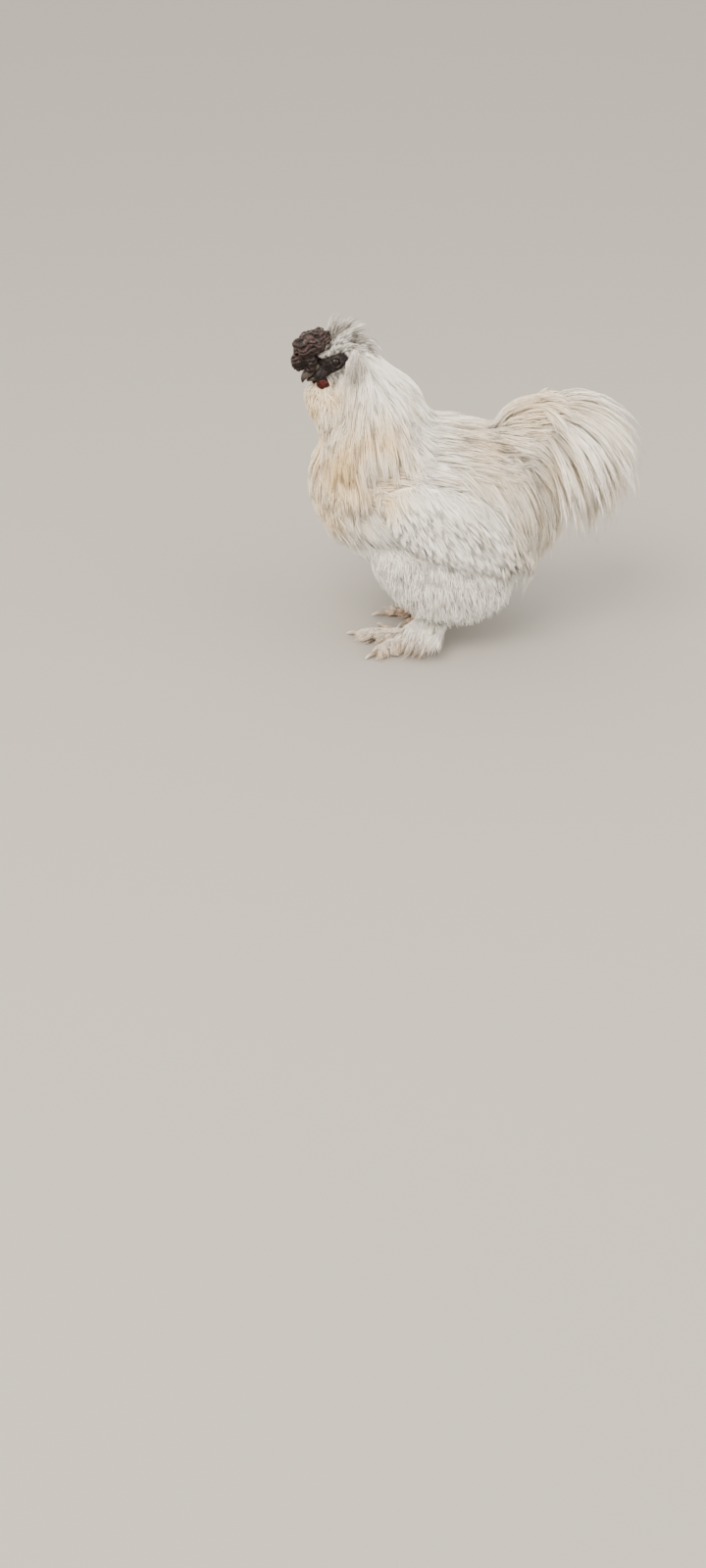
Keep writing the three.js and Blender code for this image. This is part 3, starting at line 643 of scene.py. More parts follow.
def coat_object(name, parts, material):
    """One coat piece out of several sets of strands."""
    start = 0
    triangles = []
    for part in parts:
        triangles.append(part[1] + start)
        start += len(part[0])
    verts = in_frame(np.vstack([part[0] for part in parts]))
    faces = np.vstack(triangles)
    if len(faces) > PIECE_LIMIT:
        raise RuntimeError(f"{name} has {len(faces)} triangles, more than one coat piece may have")
    mesh = bpy.data.meshes.new(name)
    mesh.vertices.add(len(verts))
    mesh.vertices.foreach_set("co", verts.ravel())
    mesh.loops.add(faces.size)
    mesh.loops.foreach_set("vertex_index", faces.ravel())
    mesh.polygons.add(len(faces))
    mesh.polygons.foreach_set("loop_start", np.arange(0, faces.size, 3))
    mesh.polygons.foreach_set("loop_total", np.full(len(faces), 3))
    mesh.update(calc_edges=True)
    along, shade = (np.concatenate([part[column] for part in parts]) for column in (2, 3))
    store(mesh, along=along, shade=shade)
    unwrap = np.vstack([part[4] for part in parts])
    mesh.uv_layers.new(name="OFBake").data.foreach_set("uv", unwrap[faces.ravel()].ravel())
    mesh.shade_smooth()
    obj = bpy.data.objects.new(name, mesh)
    bpy.context.scene.collection.objects.link(obj)
    return finished(obj, material)


# How the locks of each kind of feather are made, with sizes in millimetres.
LOOK_PARTS = ("strands", "rings", "wide", "thick", "girth", "gather", "ragged", "wave", "stray")
LOOKS = {
    name: dict(zip(LOOK_PARTS, values))
    for name, values in {
        "hackle": (16, 3, 4.1, 2.7, 0.39, 0.75, 0.3, 0.6, 1.0),
        "breast": (23, 3, 7.2, 3.5, 0.45, 0.45, 0.4, 0.7, 1.6),
        "fluff": (26, 3, 9.8, 4.0, 0.41, 0.12, 0.5, 0.8, 2.2),
        "saddle": (13, 4, 3.6, 2.6, 0.46, 0.8, 0.35, 0.8, 1.2),
        "wing": (15, 3, 4.6, 2.9, 0.44, 0.6, 0.35, 0.6, 1.2),
        "wing_tips": (18, 3, 3.4, 2.2, 0.52, 0.9, 0.25, 0.5, 0.7),
        "tail": (14, 4, 3.3, 2.6, 0.52, 0.8, 0.3, 0.8, 1.3),
        "crest": (15, 4, 3.0, 2.2, 0.28, 0.5, 0.5, 1.6, 1.6),
        "face": (12, 3, 1.9, 1.2, 0.22, 0.4, 0.4, 0.3, 0.6),
        "foot": (19, 3, 4.2, 2.4, 0.42, 0.6, 0.45, 0.6, 1.3),
        "plume": (20, 3, 5.2, 2.8, 0.36, 0.7, 0.45, 0.7, 1.3),
    }.items()
}


# Where a patch says nothing else, how far its feathers spread to the sides and stray from their way, how
# evenly they lift, and how closely they follow the skin.
PATCH_DEFAULTS = {"spread": 0, "tousle": 0.08, "even": 0.35, "cling": 0.7}


def tufts(share, arc, locks, length, lift, lie, **more):
    """A patch of coat: where its roots stand on a form, how many locks it has and how they lie."""
    patch = {"share": share, "arc": arc, "locks": locks, "length": length, "lift": lift, "lie": lie}
    return {**PATCH_DEFAULTS, **patch, "hang": lie, **more}


def patch_strands(rng, surface, form, look, patch, tile):
    """Strands over one patch of a form, from evenly scattered roots that no other form covers."""
    count = patch["locks"]
    # A little noise keeps the evenly scattered roots from lining up.
    i = np.arange(count)
    share = (i + 0.5) / count + rng.uniform(-0.5, 0.5, count) * ROOT_JITTER
    share = between(patch["share"], np.clip(share, 0, 1))
    turn = (i * GOLDEN_TURN + 0.02 * rng.normal(size=count)) % 1
    angle = np.radians(between(patch["arc"], turn))
    roots = on_form(form, share, angle)
    at, normal = surface.nearest(roots)
    shown = dot(roots - at, normal)[:, 0] > -HOLLOW
    shown &= np.linalg.norm(roots - at, axis=-1) < HOLLOW + 2
    share, angle, roots = share[shown], angle[shown], roots[shown]
    count = len(roots)

    def field(key):
        """A value at each root, which may change from the patch's first to its second share."""
        ends = np.asarray(patch[key], float)
        if ends.ndim == 1 and key in ("lie", "hang"):
            return np.tile(ends, (count, 1))
        if ends.ndim == 0:
            return np.full(count, float(ends))
        span = patch["share"][1] - patch["share"][0]
        t = np.clip((share - patch["share"][0]) / span, 0, 1)
        t = t[:, None] if ends.ndim == 2 else t
        return blend(ends[0], ends[1], t)

    lie = field("lie")
    hang = field("hang")
    if "rear" in patch:
        back = (np.maximum(np.sin(angle), 0) ** 2)[:, None]
        lie = blend(lie, patch["rear"], back)
        hang = blend(hang, patch["rear"], back)
    out = np.zeros((count, 3))
    out[:, 1] = np.sign(roots[:, 1]) * np.minimum(np.abs(roots[:, 1]) / 30, 1)
    lie = unit(lie) + patch["spread"] * out + rng.normal(size=(count, 3)) * patch["tousle"]
    hang = unit(hang) + patch["spread"] * 0.4 * out + rng.normal(size=(count, 3)) * patch["tousle"]
    laying = {
        "lie": lie,
        "hang": hang,
        "length": field("length") * rng.uniform(0.75, 1.15, count),
        "lift": field("lift") * rng.uniform(patch["even"], 1.1, count),
        "cling": patch["cling"],
    }
    path, normals = laid(surface, roots, laying)
    number, tiles = tile
    around = (angle / (2 * math.pi)) % 1
    unwrap = np.stack([around * UNWRAP_SHARE, (number + UNWRAP_SHARE * share) / tiles], -1)
    return strands(rng, path, normals, look, unwrap)


# Patches of coat on each form. A pair of values runs from a patch's first share to its last, lie is the way
# of the feathers at their roots, hang that of their tips, and rear their way along the back.
NECK_PATCHES = [
    tufts((0.03, 0.3), (-90, 270), 260, (34, 56), (3, 8), (0.05, 0, -1), rear=(0.6, 0, -1)),
    tufts((0.25, 0.62), (-90, 270), 480, (60, 68), (8, 11), (0.1, 0, -1), rear=(0.9, 0, -0.75)),
    tufts((0.6, 0.85), (-170, -10), 185, (58, 52), 12, (0.3, 0, -1)),
]
THROAT_PATCH = tufts((0.04, 0.95), (130, 410), 115, (26, 44), (3, 8), (0.15, 0, -1), tousle=0.2)
BREAST_PATCHES = [
    tufts((0.0, 0.16), (-220, 40), 140, (36, 46), (8, 12), (0.15, 0, -1), tousle=0.14),
    tufts((0.12, 0.4), (180, 360), 176, (44, 48), 12, ((0.35, 0, -1), (0.8, 0, -0.7)), tousle=0.14),
]
BELLY_LIE = ((0.6, 0, -1), (0.2, 0, -1))
VENT_FALL = {"hang": (0.05, 0, -1), "cling": 0.05}
BELLY_PATCHES = [
    tufts((0.38, 0.76), (205, 335), 70, 38, 11, (0.6, 0, -0.9), tousle=0.2, even=0.75),
    tufts((0.72, 1.0), (160, 380), 116, (42, 38), 11, BELLY_LIE, cling=0.4, tousle=0.18, even=0.7),
    tufts((0.86, 1.0), (165, 375), 50, 52, 10, (0.3, 0, -1), **VENT_FALL, tousle=0.16, even=0.6),
]
BACK_PATCHES = [
    tufts((0.14, 0.62), (-15, 195), 185, 56, (5, 10), (1, 0, -0.12), spread=0.15),
    tufts((0.22, 0.62), (160, 205), 54, 50, 9, (0.7, 0, -0.75)),
    tufts((0.22, 0.62), (-25, 20), 54, 50, 9, (0.7, 0, -0.75)),
]
SADDLE_FALL = {"hang": (0.3, 0, -1), "spread": 0.3, "cling": 0.5}
RUMP_FALL = {"hang": (0.15, 0, -1), "spread": 0.3, "cling": 0.4}
SADDLE_PATCHES = [
    tufts((0.52, 0.76), (35, 145), 124, (76, 84), 8, (1, 0, 0.35), hang=(1, 0, -0.3), spread=0.35, cling=0.6),
    tufts((0.48, 0.74), (-10, 60), 108, (92, 104), 12, (0.8, 0, -0.45), **SADDLE_FALL),
    tufts((0.48, 0.74), (120, 190), 108, (92, 104), 12, (0.8, 0, -0.45), **SADDLE_FALL),
    tufts((0.72, 0.96), (-25, 205), 195, (92, 78), 13, (0.8, 0, -0.6), **RUMP_FALL),
]
WING_LIE = ((0.6, 0, -0.8), (0.75, 0, -0.7))
WING_PATCHES = [
    tufts((0.0, 0.2), (-80, 190), 62, (32, 40), (2, 4), (0.75, 0, -0.6), hang=(0.6, 0, -0.8)),
    tufts((0.02, 0.5), (-50, 115), 155, (44, 50), (3, 7), WING_LIE, hang=(0.5, 0, -1)),
    tufts((0.4, 0.98), (-50, 115), 166, (46, 36), (6, 8), (0.9, 0, -0.75), hang=(0.6, 0, -1)),
]
WING_TIP_PATCHES = [
    tufts((0.08, 0.98), (-66, -20), 70, (24, 30), 13, (0.6, 0, -0.9), hang=(0.5, 0, -1), cling=0.1, even=0.7),
    tufts((0.1, 0.98), (-30, 50), 80, (34, 38), 11, (0.75, 0, -0.75), hang=(0.5, 0, -1), cling=0.2, even=0.6),
]
THIGH_LIE = ((0.05, 0, -1), (0.3, 0, -1))
THIGH_PATCHES = [
    tufts((0.02, 0.99), (-150, 100), 240, (30, 28), 10, THIGH_LIE, tousle=0.22, cling=0.3, even=0.75),
]
TAIL_FALL = {"hang": (0.1, 0, -1), "spread": 0.3, "cling": 0.1}
TAIL_PATCHES = [
    tufts((0.0, 0.5), (-20, 200), 124, (62, 60), 6, (1, 0, 0.5), hang=(1, 0, -0.4), spread=0.3, cling=0.5),
    tufts((0.35, 0.98), (-60, 240), 88, (62, 54), 6, (1, 0, 0.1), hang=(0.8, 0, -0.8), spread=0.4, cling=0.5),
    tufts((0.05, 0.95), (-80, 30), 96, (120, 104), 9, (0.9, 0, -0.1), **TAIL_FALL),
    tufts((0.05, 0.95), (150, 260), 116, (120, 104), 9, (0.9, 0, -0.1), **TAIL_FALL),
]
TAIL_TIERS = [
    {"slopes": (26, -60), "high": 96, "fan": 62, "locks": 42, "length": 84},
    {"slopes": (14, -78), "high": 62, "fan": 34, "locks": 54, "length": 134},
    {"slopes": (6, -84), "high": 40, "fan": 56, "locks": 65, "length": 130},
    {"slopes": (-6, -86), "high": 16, "fan": 68, "locks": 65, "length": 124},
    {"slopes": (-28, -88), "high": -10, "fan": 64, "locks": 58, "length": 112},
]
CREST_ROWS = [
    {"at": (-23, 11, 3), "slopes": (44, -60), "length": 24, "locks": 24},
    {"at": (-16, 13, 10), "slopes": (74, -16), "length": 27, "locks": 30},
    {"at": (-7, 13, 14), "slopes": (94, 16), "length": 32, "locks": 36},
    {"at": (3, 11, 16), "slopes": (110, 50), "length": 34, "locks": 32},
]
# Rows of short feathers round the bare face: the places and then the ways of a row's first and last feather,
# each given forward, aside and up from the middle of the head, then length, lift and number of locks.
FACE_ROWS = [
    ((17, 11.5, 11.5), (3, 14, 11), (0.35, 0.5, 1), (-0.5, 0.45, 0.9), 11, 4, 26),
    ((4, 14.5, 10), (-7, 15, 9), (-0.7, 0.35, 0.6), (-1, 0.25, 0.1), 15, 3, 22),
    ((-8, 15.5, 8), (-9, 15.5, -3), (-1, 0.2, -0.1), (-0.8, 0.25, -0.6), 20, 3, 26),
    ((-7, 15.5, -4), (6, 14.5, -7.5), (-0.7, 0.3, -0.9), (-0.35, 0.35, -1), 20, 4, 30),
    ((5, 14.5, -8), (18, 10, -12), (-0.3, 0.35, -1), (-0.1, 0.3, -1), 17, 4, 28),
    ((15, 8, 16), (-8, 11, 14), (0.1, 0.4, 1), (-0.9, 0.25, 0.5), 15, 4, 34),
    ((-12, 13, -9), (12, 8, -16), (-0.5, 0.25, -1), (0, 0.25, -1), 24, 5, 40),
    ((-15, 12, 9), (-18, 12, -8), (-1, 0.1, -0.3), (-0.7, 0.2, -0.8), 26, 4, 34),
]
FACE_JITTER = (1.2, 1.0, 1.2)
FACE_DROOP = np.array((0, 0, -0.35))


def face_strands(rng, surface, sign):
    """Short feathers that grow away from the bare part of one side of the face."""
    parts = []
    axes = head_axes() * np.array((1, -sign, 1))[:, None]
    for number, (start, end, first, last, length, lift, count) in enumerate(FACE_ROWS):
        share = (np.arange(count) + rng.uniform(0, 1, count))[:, None] / count
        places = blend(start, end, share) + rng.normal(size=(count, 3)) * FACE_JITTER
        roots, _ = surface.nearest(np.array([side_point(place, sign) for place in places]))
        lie = unit(blend(first, last, share)) @ axes + rng.normal(size=(count, 3)) * 0.14
        laying = {
            "lie": lie,
            "hang": lie + FACE_DROOP,
            "length": length * rng.uniform(0.7, 1.15, count),
            "lift": lift * rng.uniform(0.4, 1.1, count),
            "cling": 0.15,
            "sink": 1.2,
        }
        path, normals = laid(surface, roots, laying, 5)
        tile = (number + 0.5 + 0.1 * rng.normal(size=count)) / len(FACE_ROWS)
        unwrap = np.stack([share[:, 0] * UNWRAP_SHARE, tile], -1)
        parts.append(strands(rng, path, normals, LOOKS["face"], unwrap))
    return parts


TAIL_ROWS = len(TAIL_PATCHES) + len(TAIL_TIERS)
# How far from the middle of the tail the long feathers look for their roots.
TAIL_REACH = 34


def tail_strands(rng, surface):
    """Tiers of long tail feathers that leave the root of the tail like a fan and hang at their tips."""
    parts = []
    centre = np.array(TAIL["at"][1], float)
    for number, tier in enumerate(TAIL_TIERS):
        count = tier["locks"]
        share = (np.arange(count) + 0.5 + 0.4 * rng.uniform(-0.5, 0.5, count)) / count
        bearing = np.radians(tier["fan"] * (2 * share - 1))
        high = np.radians(tier["high"] + rng.normal(size=count) * 7)
        way = np.stack([np.cos(bearing) * np.cos(high), np.sin(bearing) * np.cos(high), np.sin(high)], -1)
        at, _ = surface.nearest(centre + TAIL_REACH * way)
        slopes = [np.radians(s + rng.normal(size=count) * 5) for s in tier["slopes"]]
        length = tier["length"] * rng.uniform(0.8, 1.05, count)
        path, normals = arched(at - 5 * way, bearing, slopes, length, TAIL_HUB)
        tile = (number + len(TAIL_PATCHES) + 0.5 * rng.uniform(0, 1, count)) / TAIL_ROWS
        unwrap = np.stack([UNWRAP_SHARE * share, tile], -1)
        parts.append(strands(rng, path, normals, LOOKS["tail"], unwrap))
    return parts


def crest_strands(rng, surface):
    """The crest stands up behind the comb and falls back over the nape."""
    parts = []
    back = math.atan2(-FORWARD[1], -FORWARD[0])
    for number, row in enumerate(CREST_ROWS):
        count = row["locks"]
        across = rng.uniform(-1, 1, count)
        forward, aside, up = row["at"]
        along = rng.uniform(-5, 5, count)
        places = [(forward + a, x * aside, up - 6 * x * x) for a, x in zip(along, across)]
        wanted = np.array([head_point(place) for place in places])
        at, normal = surface.nearest(wanted)
        turn = rng.normal(size=count) * 9 - 28 * np.abs(across)
        slopes = [np.radians(s + turn) for s in row["slopes"]]
        length = row["length"] * rng.uniform(0.6, 1.1, count)
        path, normals = arched(at - 3 * normal, back - across * 0.8, slopes, length, HEAD_AT, 6)
        unwrap = np.stack([0.5 + 0.45 * across, (number + 0.5 + along / 12) / len(CREST_ROWS)], -1)
        parts.append(strands(rng, path, normals, LOOKS["crest"], unwrap))
    return parts


# Shader groups and materials


def feed(tree, socket, value):
    """Links another node's output to a socket, or gives the socket a plain number or colour."""
    if isinstance(value, bpy.types.NodeSocket):
        tree.links.new(value, socket)
    elif isinstance(value, tuple):
        socket.default_value = (*value, 1)
    else:
        socket.default_value = value


def math_node(tree, operation, a, b, clamp=False):
    node = tree.nodes.new("ShaderNodeMath")
    node.operation = operation
    node.use_clamp = clamp
    feed(tree, node.inputs[0], a)
    feed(tree, node.inputs[1], b)
    return node.outputs[0]


def vector_math(tree, operation, vector, fixed=None):
    """A node for one vector operation on a linked vector, with a fixed vector if it takes two."""
    node = tree.nodes.new("ShaderNodeVectorMath")
    node.operation = operation
    tree.links.new(vector, node.inputs[0])
    if fixed is not None:
        node.inputs[1].default_value = fixed
    return node


def mapped(tree, value, low, high, to_low=0.0, to_high=1.0):
    node = tree.nodes.new("ShaderNodeMapRange")
    node.interpolation_type = "SMOOTHSTEP"
    node.inputs["From Min"].default_value = low
    node.inputs["From Max"].default_value = high
    node.inputs["To Min"].default_value = to_low
    node.inputs["To Max"].default_value = to_high
    tree.links.new(value, node.inputs["Value"])
    return node.outputs["Result"]


def mixed(tree, share, a, b):
    """Mixes two colours, each a socket or a plain colour."""
    node = tree.nodes.new("ShaderNodeMix")
    node.data_type = "RGBA"
    for number, value in ((0, share), (6, a), (7, b)):
        feed(tree, node.inputs[number], value)
    return node.outputs[2]


def object_place(tree):
    """Where on its object a point lies, for textures that stay in place."""
    return tree.nodes.new("ShaderNodeTexCoord").outputs["Object"]


def noise(tree, position, scale, detail=3.0):
    node = tree.nodes.new("ShaderNodeTexNoise")
    node.inputs["Scale"].default_value = scale
    node.inputs["Detail"].default_value = detail
    tree.links.new(position, node.inputs["Vector"])
    return node.outputs["Fac"]


def near(tree, position, centre, radii):
    """A soft mask, 1 in the middle of an ellipsoid given in millimetres and 0 outside it."""
    place = (np.array(centre) + frame_shift()) * MM
    moved = vector_math(tree, "SUBTRACT", position, place.tolist())
    scaled = vector_math(tree, "DIVIDE", moved.outputs[0], [r * MM for r in radii])
    length = vector_math(tree, "LENGTH", scaled.outputs[0])
    return mapped(tree, length.outputs["Value"], 0.25, 1.0, 1.0, 0.0)


BUFF_PLACES = [
    ((-155, -40, 200), (85, 85, 110)),
    ((-105, -70, 215), (60, 60, 75)),
    ((-120, 40, 205), (80, 70, 100)),
]
CREAM_PLACES = [
    ((20, 0, 205), (95, 120, 75)),
    ((95, 0, 190), (110, 120, 100)),
    ((60, 0, 130), (80, 120, 80)),
    ((70, 0, 250), (95, 110, 50)),
    ((-166, -20, 262), (42, 42, 42)),
    ((-166, 22, 262), (42, 42, 42)),
]
SMOKE_PLACES = [
    (side_point((-3, 27, -14), -1), (20, 22, 30)),
    (side_point((-3, 27, -14), 1), (20, 22, 30)),
]
TINT_PLACES = {"Buff": BUFF_PLACES, "Cream": CREAM_PLACES, "Smoke": SMOKE_PLACES}
# The height above the ground, in metres, at which the dust ends.
DUST_HEIGHT = 0.028


def plumage_group():
    """Masks of the coat's tints by place, buff, cream, smoke and dust, each as strong as its input says."""
    tree = bpy.data.node_groups.new("Plumage Tint", "ShaderNodeTree")
    for label in (*TINT_PLACES, "Dust"):
        strength = tree.interface.new_socket(
            name=f"{label} Strength", in_out="INPUT", socket_type="NodeSocketFloat"
        )
        strength.default_value = 1.0
        tree.interface.new_socket(name=label, in_out="OUTPUT", socket_type="NodeSocketFloat")
    strengths = tree.nodes.new("NodeGroupInput")
    out = tree.nodes.new("NodeGroupOutput")

    def put_out(label, mask):
        strong = math_node(tree, "MULTIPLY", mask, strengths.outputs[f"{label} Strength"])
        tree.links.new(strong, out.inputs[label])

    position = object_place(tree)
    uneven = mapped(tree, noise(tree, position, 22), 0.3, 0.65, 0.35, 1.0)
    for label, places in TINT_PLACES.items():
        total = near(tree, position, *places[0])
        for place in places[1:]:
            total = math_node(tree, "MAXIMUM", total, near(tree, position, *place))
        put_out(label, math_node(tree, "MULTIPLY", total, uneven))
    split = tree.nodes.new("ShaderNodeSeparateXYZ")
    tree.links.new(position, split.inputs[0])
    put_out("Dust", mapped(tree, split.outputs["Z"], 0.0, DUST_HEIGHT, 1.0, 0.0))
    return tree


def attribute(tree, name):
    node = tree.nodes.new("ShaderNodeAttribute")
    node.attribute_name = name
    return node.outputs["Fac"]


def new_material(name):
    material = bpy.data.materials.new(name)
    material.use_nodes = True
    tree = material.node_tree
    return material, tree, tree.nodes["Principled BSDF"]


def set_inputs(node, **values):
    for name, value in values.items():
        node.inputs[name.replace("_", " ")].default_value = value


WHITE = (0.93, 0.92, 0.89)
BUFF = (0.88, 0.66, 0.34)
CREAM = (0.70, 0.565, 0.385)
SMOKE = (0.20, 0.175, 0.155)
DUSTY = (0.62, 0.47, 0.33)
# Each mask's tint and how strongly it shows, in the order in which they are laid over white.
TINTS = (("Cream", 0.85, CREAM), ("Buff", 0.95, BUFF), ("Smoke", 0.9, SMOKE), ("Dust", 0.8, DUSTY))


def tinted(tree, group):
    """The coat's colour by place, from the shared masks."""
    masks = tree.nodes.new("ShaderNodeGroup")
    masks.node_tree = group
    color = WHITE
    for name, strength, tint in TINTS:
        masks.inputs[f"{name} Strength"].default_value = strength
        color = mixed(tree, masks.outputs[name], color, tint)
    return color


def scaled_color(tree, color, value):
    node = vector_math(tree, "SCALE", color)
    feed(tree, node.inputs["Scale"], value)
    return node.outputs[0]


def mottling(tree, position, scale):
    return mapped(tree, noise(tree, position, scale), 0.35, 0.65)


def roughen(tree, shader, position, scale, strength, distance):
    """Gives a surface a fine grain."""
    bump = tree.nodes.new("ShaderNodeBump")
    set_inputs(bump, Strength=strength, Distance=distance)
    tree.links.new(noise(tree, position, scale), bump.inputs["Height"])
    tree.links.new(bump.outputs[0], shader.inputs["Normal"])


def plumage_material(name, group, root, streak, share):
    """Silky strands: darker at their roots as painted shade deep in the coat (on the crest also its own grey),
    no two the same, and a share of them streaked.
    """
    material, tree, shader = new_material(name)
    # Darkening towards the roots is painted shade among the strands.
    along = mapped(tree, attribute(tree, "along"), 0.0, 0.6, root, 1.0)
    shade = attribute(tree, "shade")
    vary = mapped(tree, shade, 0.0, 1.0, 0.88, 1.03)
    color = scaled_color(tree, tinted(tree, group), math_node(tree, "MULTIPLY", along, vary))
    streaked = mapped(tree, shade, 1 - share - 0.06, 1 - share + 0.06, 0.0, 0.85)
    tree.links.new(mixed(tree, streaked, color, streak), shader.inputs["Base Color"])
    set_inputs(shader, Roughness=0.65, Specular_IOR_Level=0.25, Sheen_Weight=0.3, Sheen_Roughness=0.4)
    return material


# The darker and the lighter tone of the bare skin: on the face they paint shade into the wrinkles' folds and
# light onto their ridges, on the feet they are mottled at random.
FACE_TONES = ((0.005, 0.004, 0.0045), (0.031, 0.023, 0.024))
FOOT_TONES = ((0.28, 0.195, 0.145), (0.53, 0.39, 0.30))
# How dark the down under the coat is made, as painted shade beneath the strands.
DOWN_PAINTED_SHADE = 0.75


def skin_material(group):
    """Blackish wrinkled face with painted shade in its folds, tan feet, and the down under the coat, darkened
    as painted shade.
    """
    material, tree, shader = new_material("Skin")
    # The down is the coat's colour darkened as painted shade under the strands.
    coat = scaled_color(tree, tinted(tree, group), DOWN_PAINTED_SHADE)
    position = object_place(tree)
    mottled = mottling(tree, position, 260)
    # Painted light on the face's raised wrinkles and painted shade in the folds between them, mottled at
    # random.
    proud = math_node(tree, "MULTIPLY", mottled, attribute(tree, "proud"), clamp=True)
    face = mixed(tree, proud, *FACE_TONES)
    foot = mixed(tree, mottled, *FOOT_TONES)
    bare = mixed(tree, attribute(tree, "foot"), face, foot)
    tree.links.new(mixed(tree, attribute(tree, "bare"), coat, bare), shader.inputs["Base Color"])
    roughen(tree, shader, position, 900, 0.35, 0.0006)
    set_inputs(shader, Roughness=0.5, Specular_IOR_Level=0.18)
    return material


# Each flesh's darker tone in its folds and lighter tone where it stands proud, which paint shade into the folds
# and light onto the ridges, and its roughness.
FLESH = {
    "Comb": ((0.004, 0.002, 0.002), (0.041, 0.021, 0.022), 0.45),
    "Wattle": ((0.014, 0.0015, 0.0015), (0.07, 0.006, 0.007), 0.4),
    "Earlobe": ((0.012, 0.018, 0.028), (0.04, 0.065, 0.09), 0.5),
}


def flesh_material(name):
    """Bare flesh mottled between two tones, with painted shade in its folds and painted light on its ridges."""
    dark, light, roughness = FLESH[name]
    material, tree, shader = new_material(name)
    position = object_place(tree)
    mottled = mottling(tree, position, 300)
    proud = math_node(tree, "MULTIPLY", mottled, attribute(tree, "proud"), clamp=True)
    tree.links.new(mixed(tree, proud, dark, light), shader.inputs["Base Color"])
    roughen(tree, shader, position, 1200, 0.3, 0.0005)
    set_inputs(shader, Roughness=roughness, Specular_IOR_Level=0.22)
    return material


# Each horn's tones at its root and tip, and the shares of its length between which they change.
HORNS = {
    "Horn": ((0.05, 0.042, 0.036), (0.014, 0.012, 0.012), 0.6, 0.92),
    "Claw": ((0.30, 0.25, 0.20), (0.55, 0.50, 0.42), 0.3, 0.9),
}


def horn_material(name):
    """Horn that changes from root to tip."""
    root, tip, start, end = HORNS[name]
    material, tree, shader = new_material(name)
    share = mapped(tree, attribute(tree, "share"), start, end)
    tree.links.new(mixed(tree, share, root, tip), shader.inputs["Base Color"])
    set_inputs(shader, Roughness=0.35, Specular_IOR_Level=0.3)
    return material


def plain_material(name, color, roughness, specular=0.5):
    material, _, shader = new_material(name)
    set_inputs(shader, Base_Color=(*color, 1), Roughness=roughness, Specular_IOR_Level=specular)
    return material


# Settings


class SilkieBodySettings(bpy.types.PropertyGroup):
    skin_grain: bpy.props.FloatProperty(
        name="Skin Grain",
        description="Size of the skin's faces",
        default=0.0021,
        unit="LENGTH",
        subtype="DISTANCE",
    )
    comb_grain: bpy.props.FloatProperty(
        name="Comb Grain",
        description="Size of the comb's faces",
        default=0.0007,
        unit="LENGTH",
        subtype="DISTANCE",
    )
    seed: bpy.props.IntProperty(name="Seed", description="Start of every random draw", default=11)


class SilkieStageSettings(bpy.types.PropertyGroup):
    camera_place: bpy.props.FloatVectorProperty(
        name="Camera Place",
        description="Where the camera stands beside the bird",
        default=(-0.124, -1.728, 0.935),
        subtype="TRANSLATION",
        unit="LENGTH",
    )
    camera_pitch: bpy.props.FloatProperty(
        name="Camera Pitch",
        description="How far the camera looks down",
        default=math.radians(33.5),
        subtype="ANGLE",
        unit="ROTATION",
    )
    lens: bpy.props.FloatProperty(
        name="Lens", description="Focal length", default=40.5, subtype="DISTANCE_CAMERA", unit="CAMERA"
    )
    floor_size: bpy.props.FloatProperty(
        name="Floor Size", description="Side of the floor", default=12.0, unit="LENGTH", subtype="DISTANCE"
    )
    key_power: bpy.props.FloatProperty(
        name="Key Light", description="Power of the main light", default=145.0, unit="POWER"
    )
    fill_power: bpy.props.FloatProperty(
        name="Fill Light", description="Power of the light on the shaded side", default=40.0, unit="POWER"
    )


def body(context):
    return context.scene.silkie_body


def draws(context, number):
    """A random generator of its own for each piece."""
    return np.random.default_rng(body(context).seed * 100 + number)


# Operators


def material_named(name, make):
    """A material that several pieces share, made once."""
    return bpy.data.materials.get(name) or make()


def shared_group():
    return bpy.data.node_groups.get("Plumage Tint") or plumage_group()


# Each plumage's brightness at the roots, darkened as painted shade (on the crest also its own grey), the colour
# of its streaks and the share of strands that have it.
PLUMAGES = {
    "Silk": (0.8, (0.66, 0.56, 0.42), 0.16),
    "Down": (0.93, (0.84, 0.80, 0.74), 0.14),
    "Tail silk": (0.66, (0.42, 0.34, 0.25), 0.24),
    "Wing silk": (0.85, (0.68, 0.66, 0.64), 0.12),
    "Crest silk": (0.15, (0.06, 0.053, 0.038), 0.62),
    "Cheek silk": (0.3, (0.07, 0.063, 0.058), 0.45),
    "Foot silk": (0.7, (0.54, 0.41, 0.29), 0.25),
    "Plume silk": (0.75, (0.70, 0.58, 0.44), 0.15),
}


def plumage(name):
    return material_named(name, lambda: plumage_material(name, shared_group(), *PLUMAGES[name]))


JOWL_AT = (26.5, 7.5, -6)
JOWL_RADII = (8, 5, 7)
HEAD_REACH = (34, 26, 27)
# Rings of skin round the eye: height, distance from the middle of the eye, and width.
EYE_RINGS = ((2.3, 4.9, 1.2), (-1.6, 0.0, 3.4), (0.8, 8.4, 1.0))
EYE_OUTWARD = (0, 1, 0.1)
WARTS = [(-2, 15, 7), (2.5, 14.5, 9)]
WART_HEIGHT = 1.6
WART_WIDTH = 1.9
# The height up to which the skin has toes, and that up to which it is bare.
TOE_TOP = 26
BARE_TOP = 34
TOE_PINCH = 0.75
TOE_SWELL = 0.3
JOINT_SPACING = 11


def toe_joints(verts):
    """How far the pads and joints of the toes swell and pinch the skin."""
    push = np.zeros(len(verts))
    for side, sign in SIDES:
        for toe in TOES.values():
            form = toe_form(side, sign, toe)
            away = verts - form["at"][0]
            share = (away @ form["way"]) / toe["length"]
            aside = np.abs(away @ np.asarray(form["side"], float))
            on_toe = (share > 0.1) & (share < 1.05) & (aside < 1.7 * toe["radius"]) & (verts[:, 2] < TOE_TOP)
            pads = np.abs(np.sin(share * math.pi * toe["length"] / JOINT_SPACING))
            push = np.where(on_toe, TOE_SWELL - TOE_PINCH * pads, push)
    return push


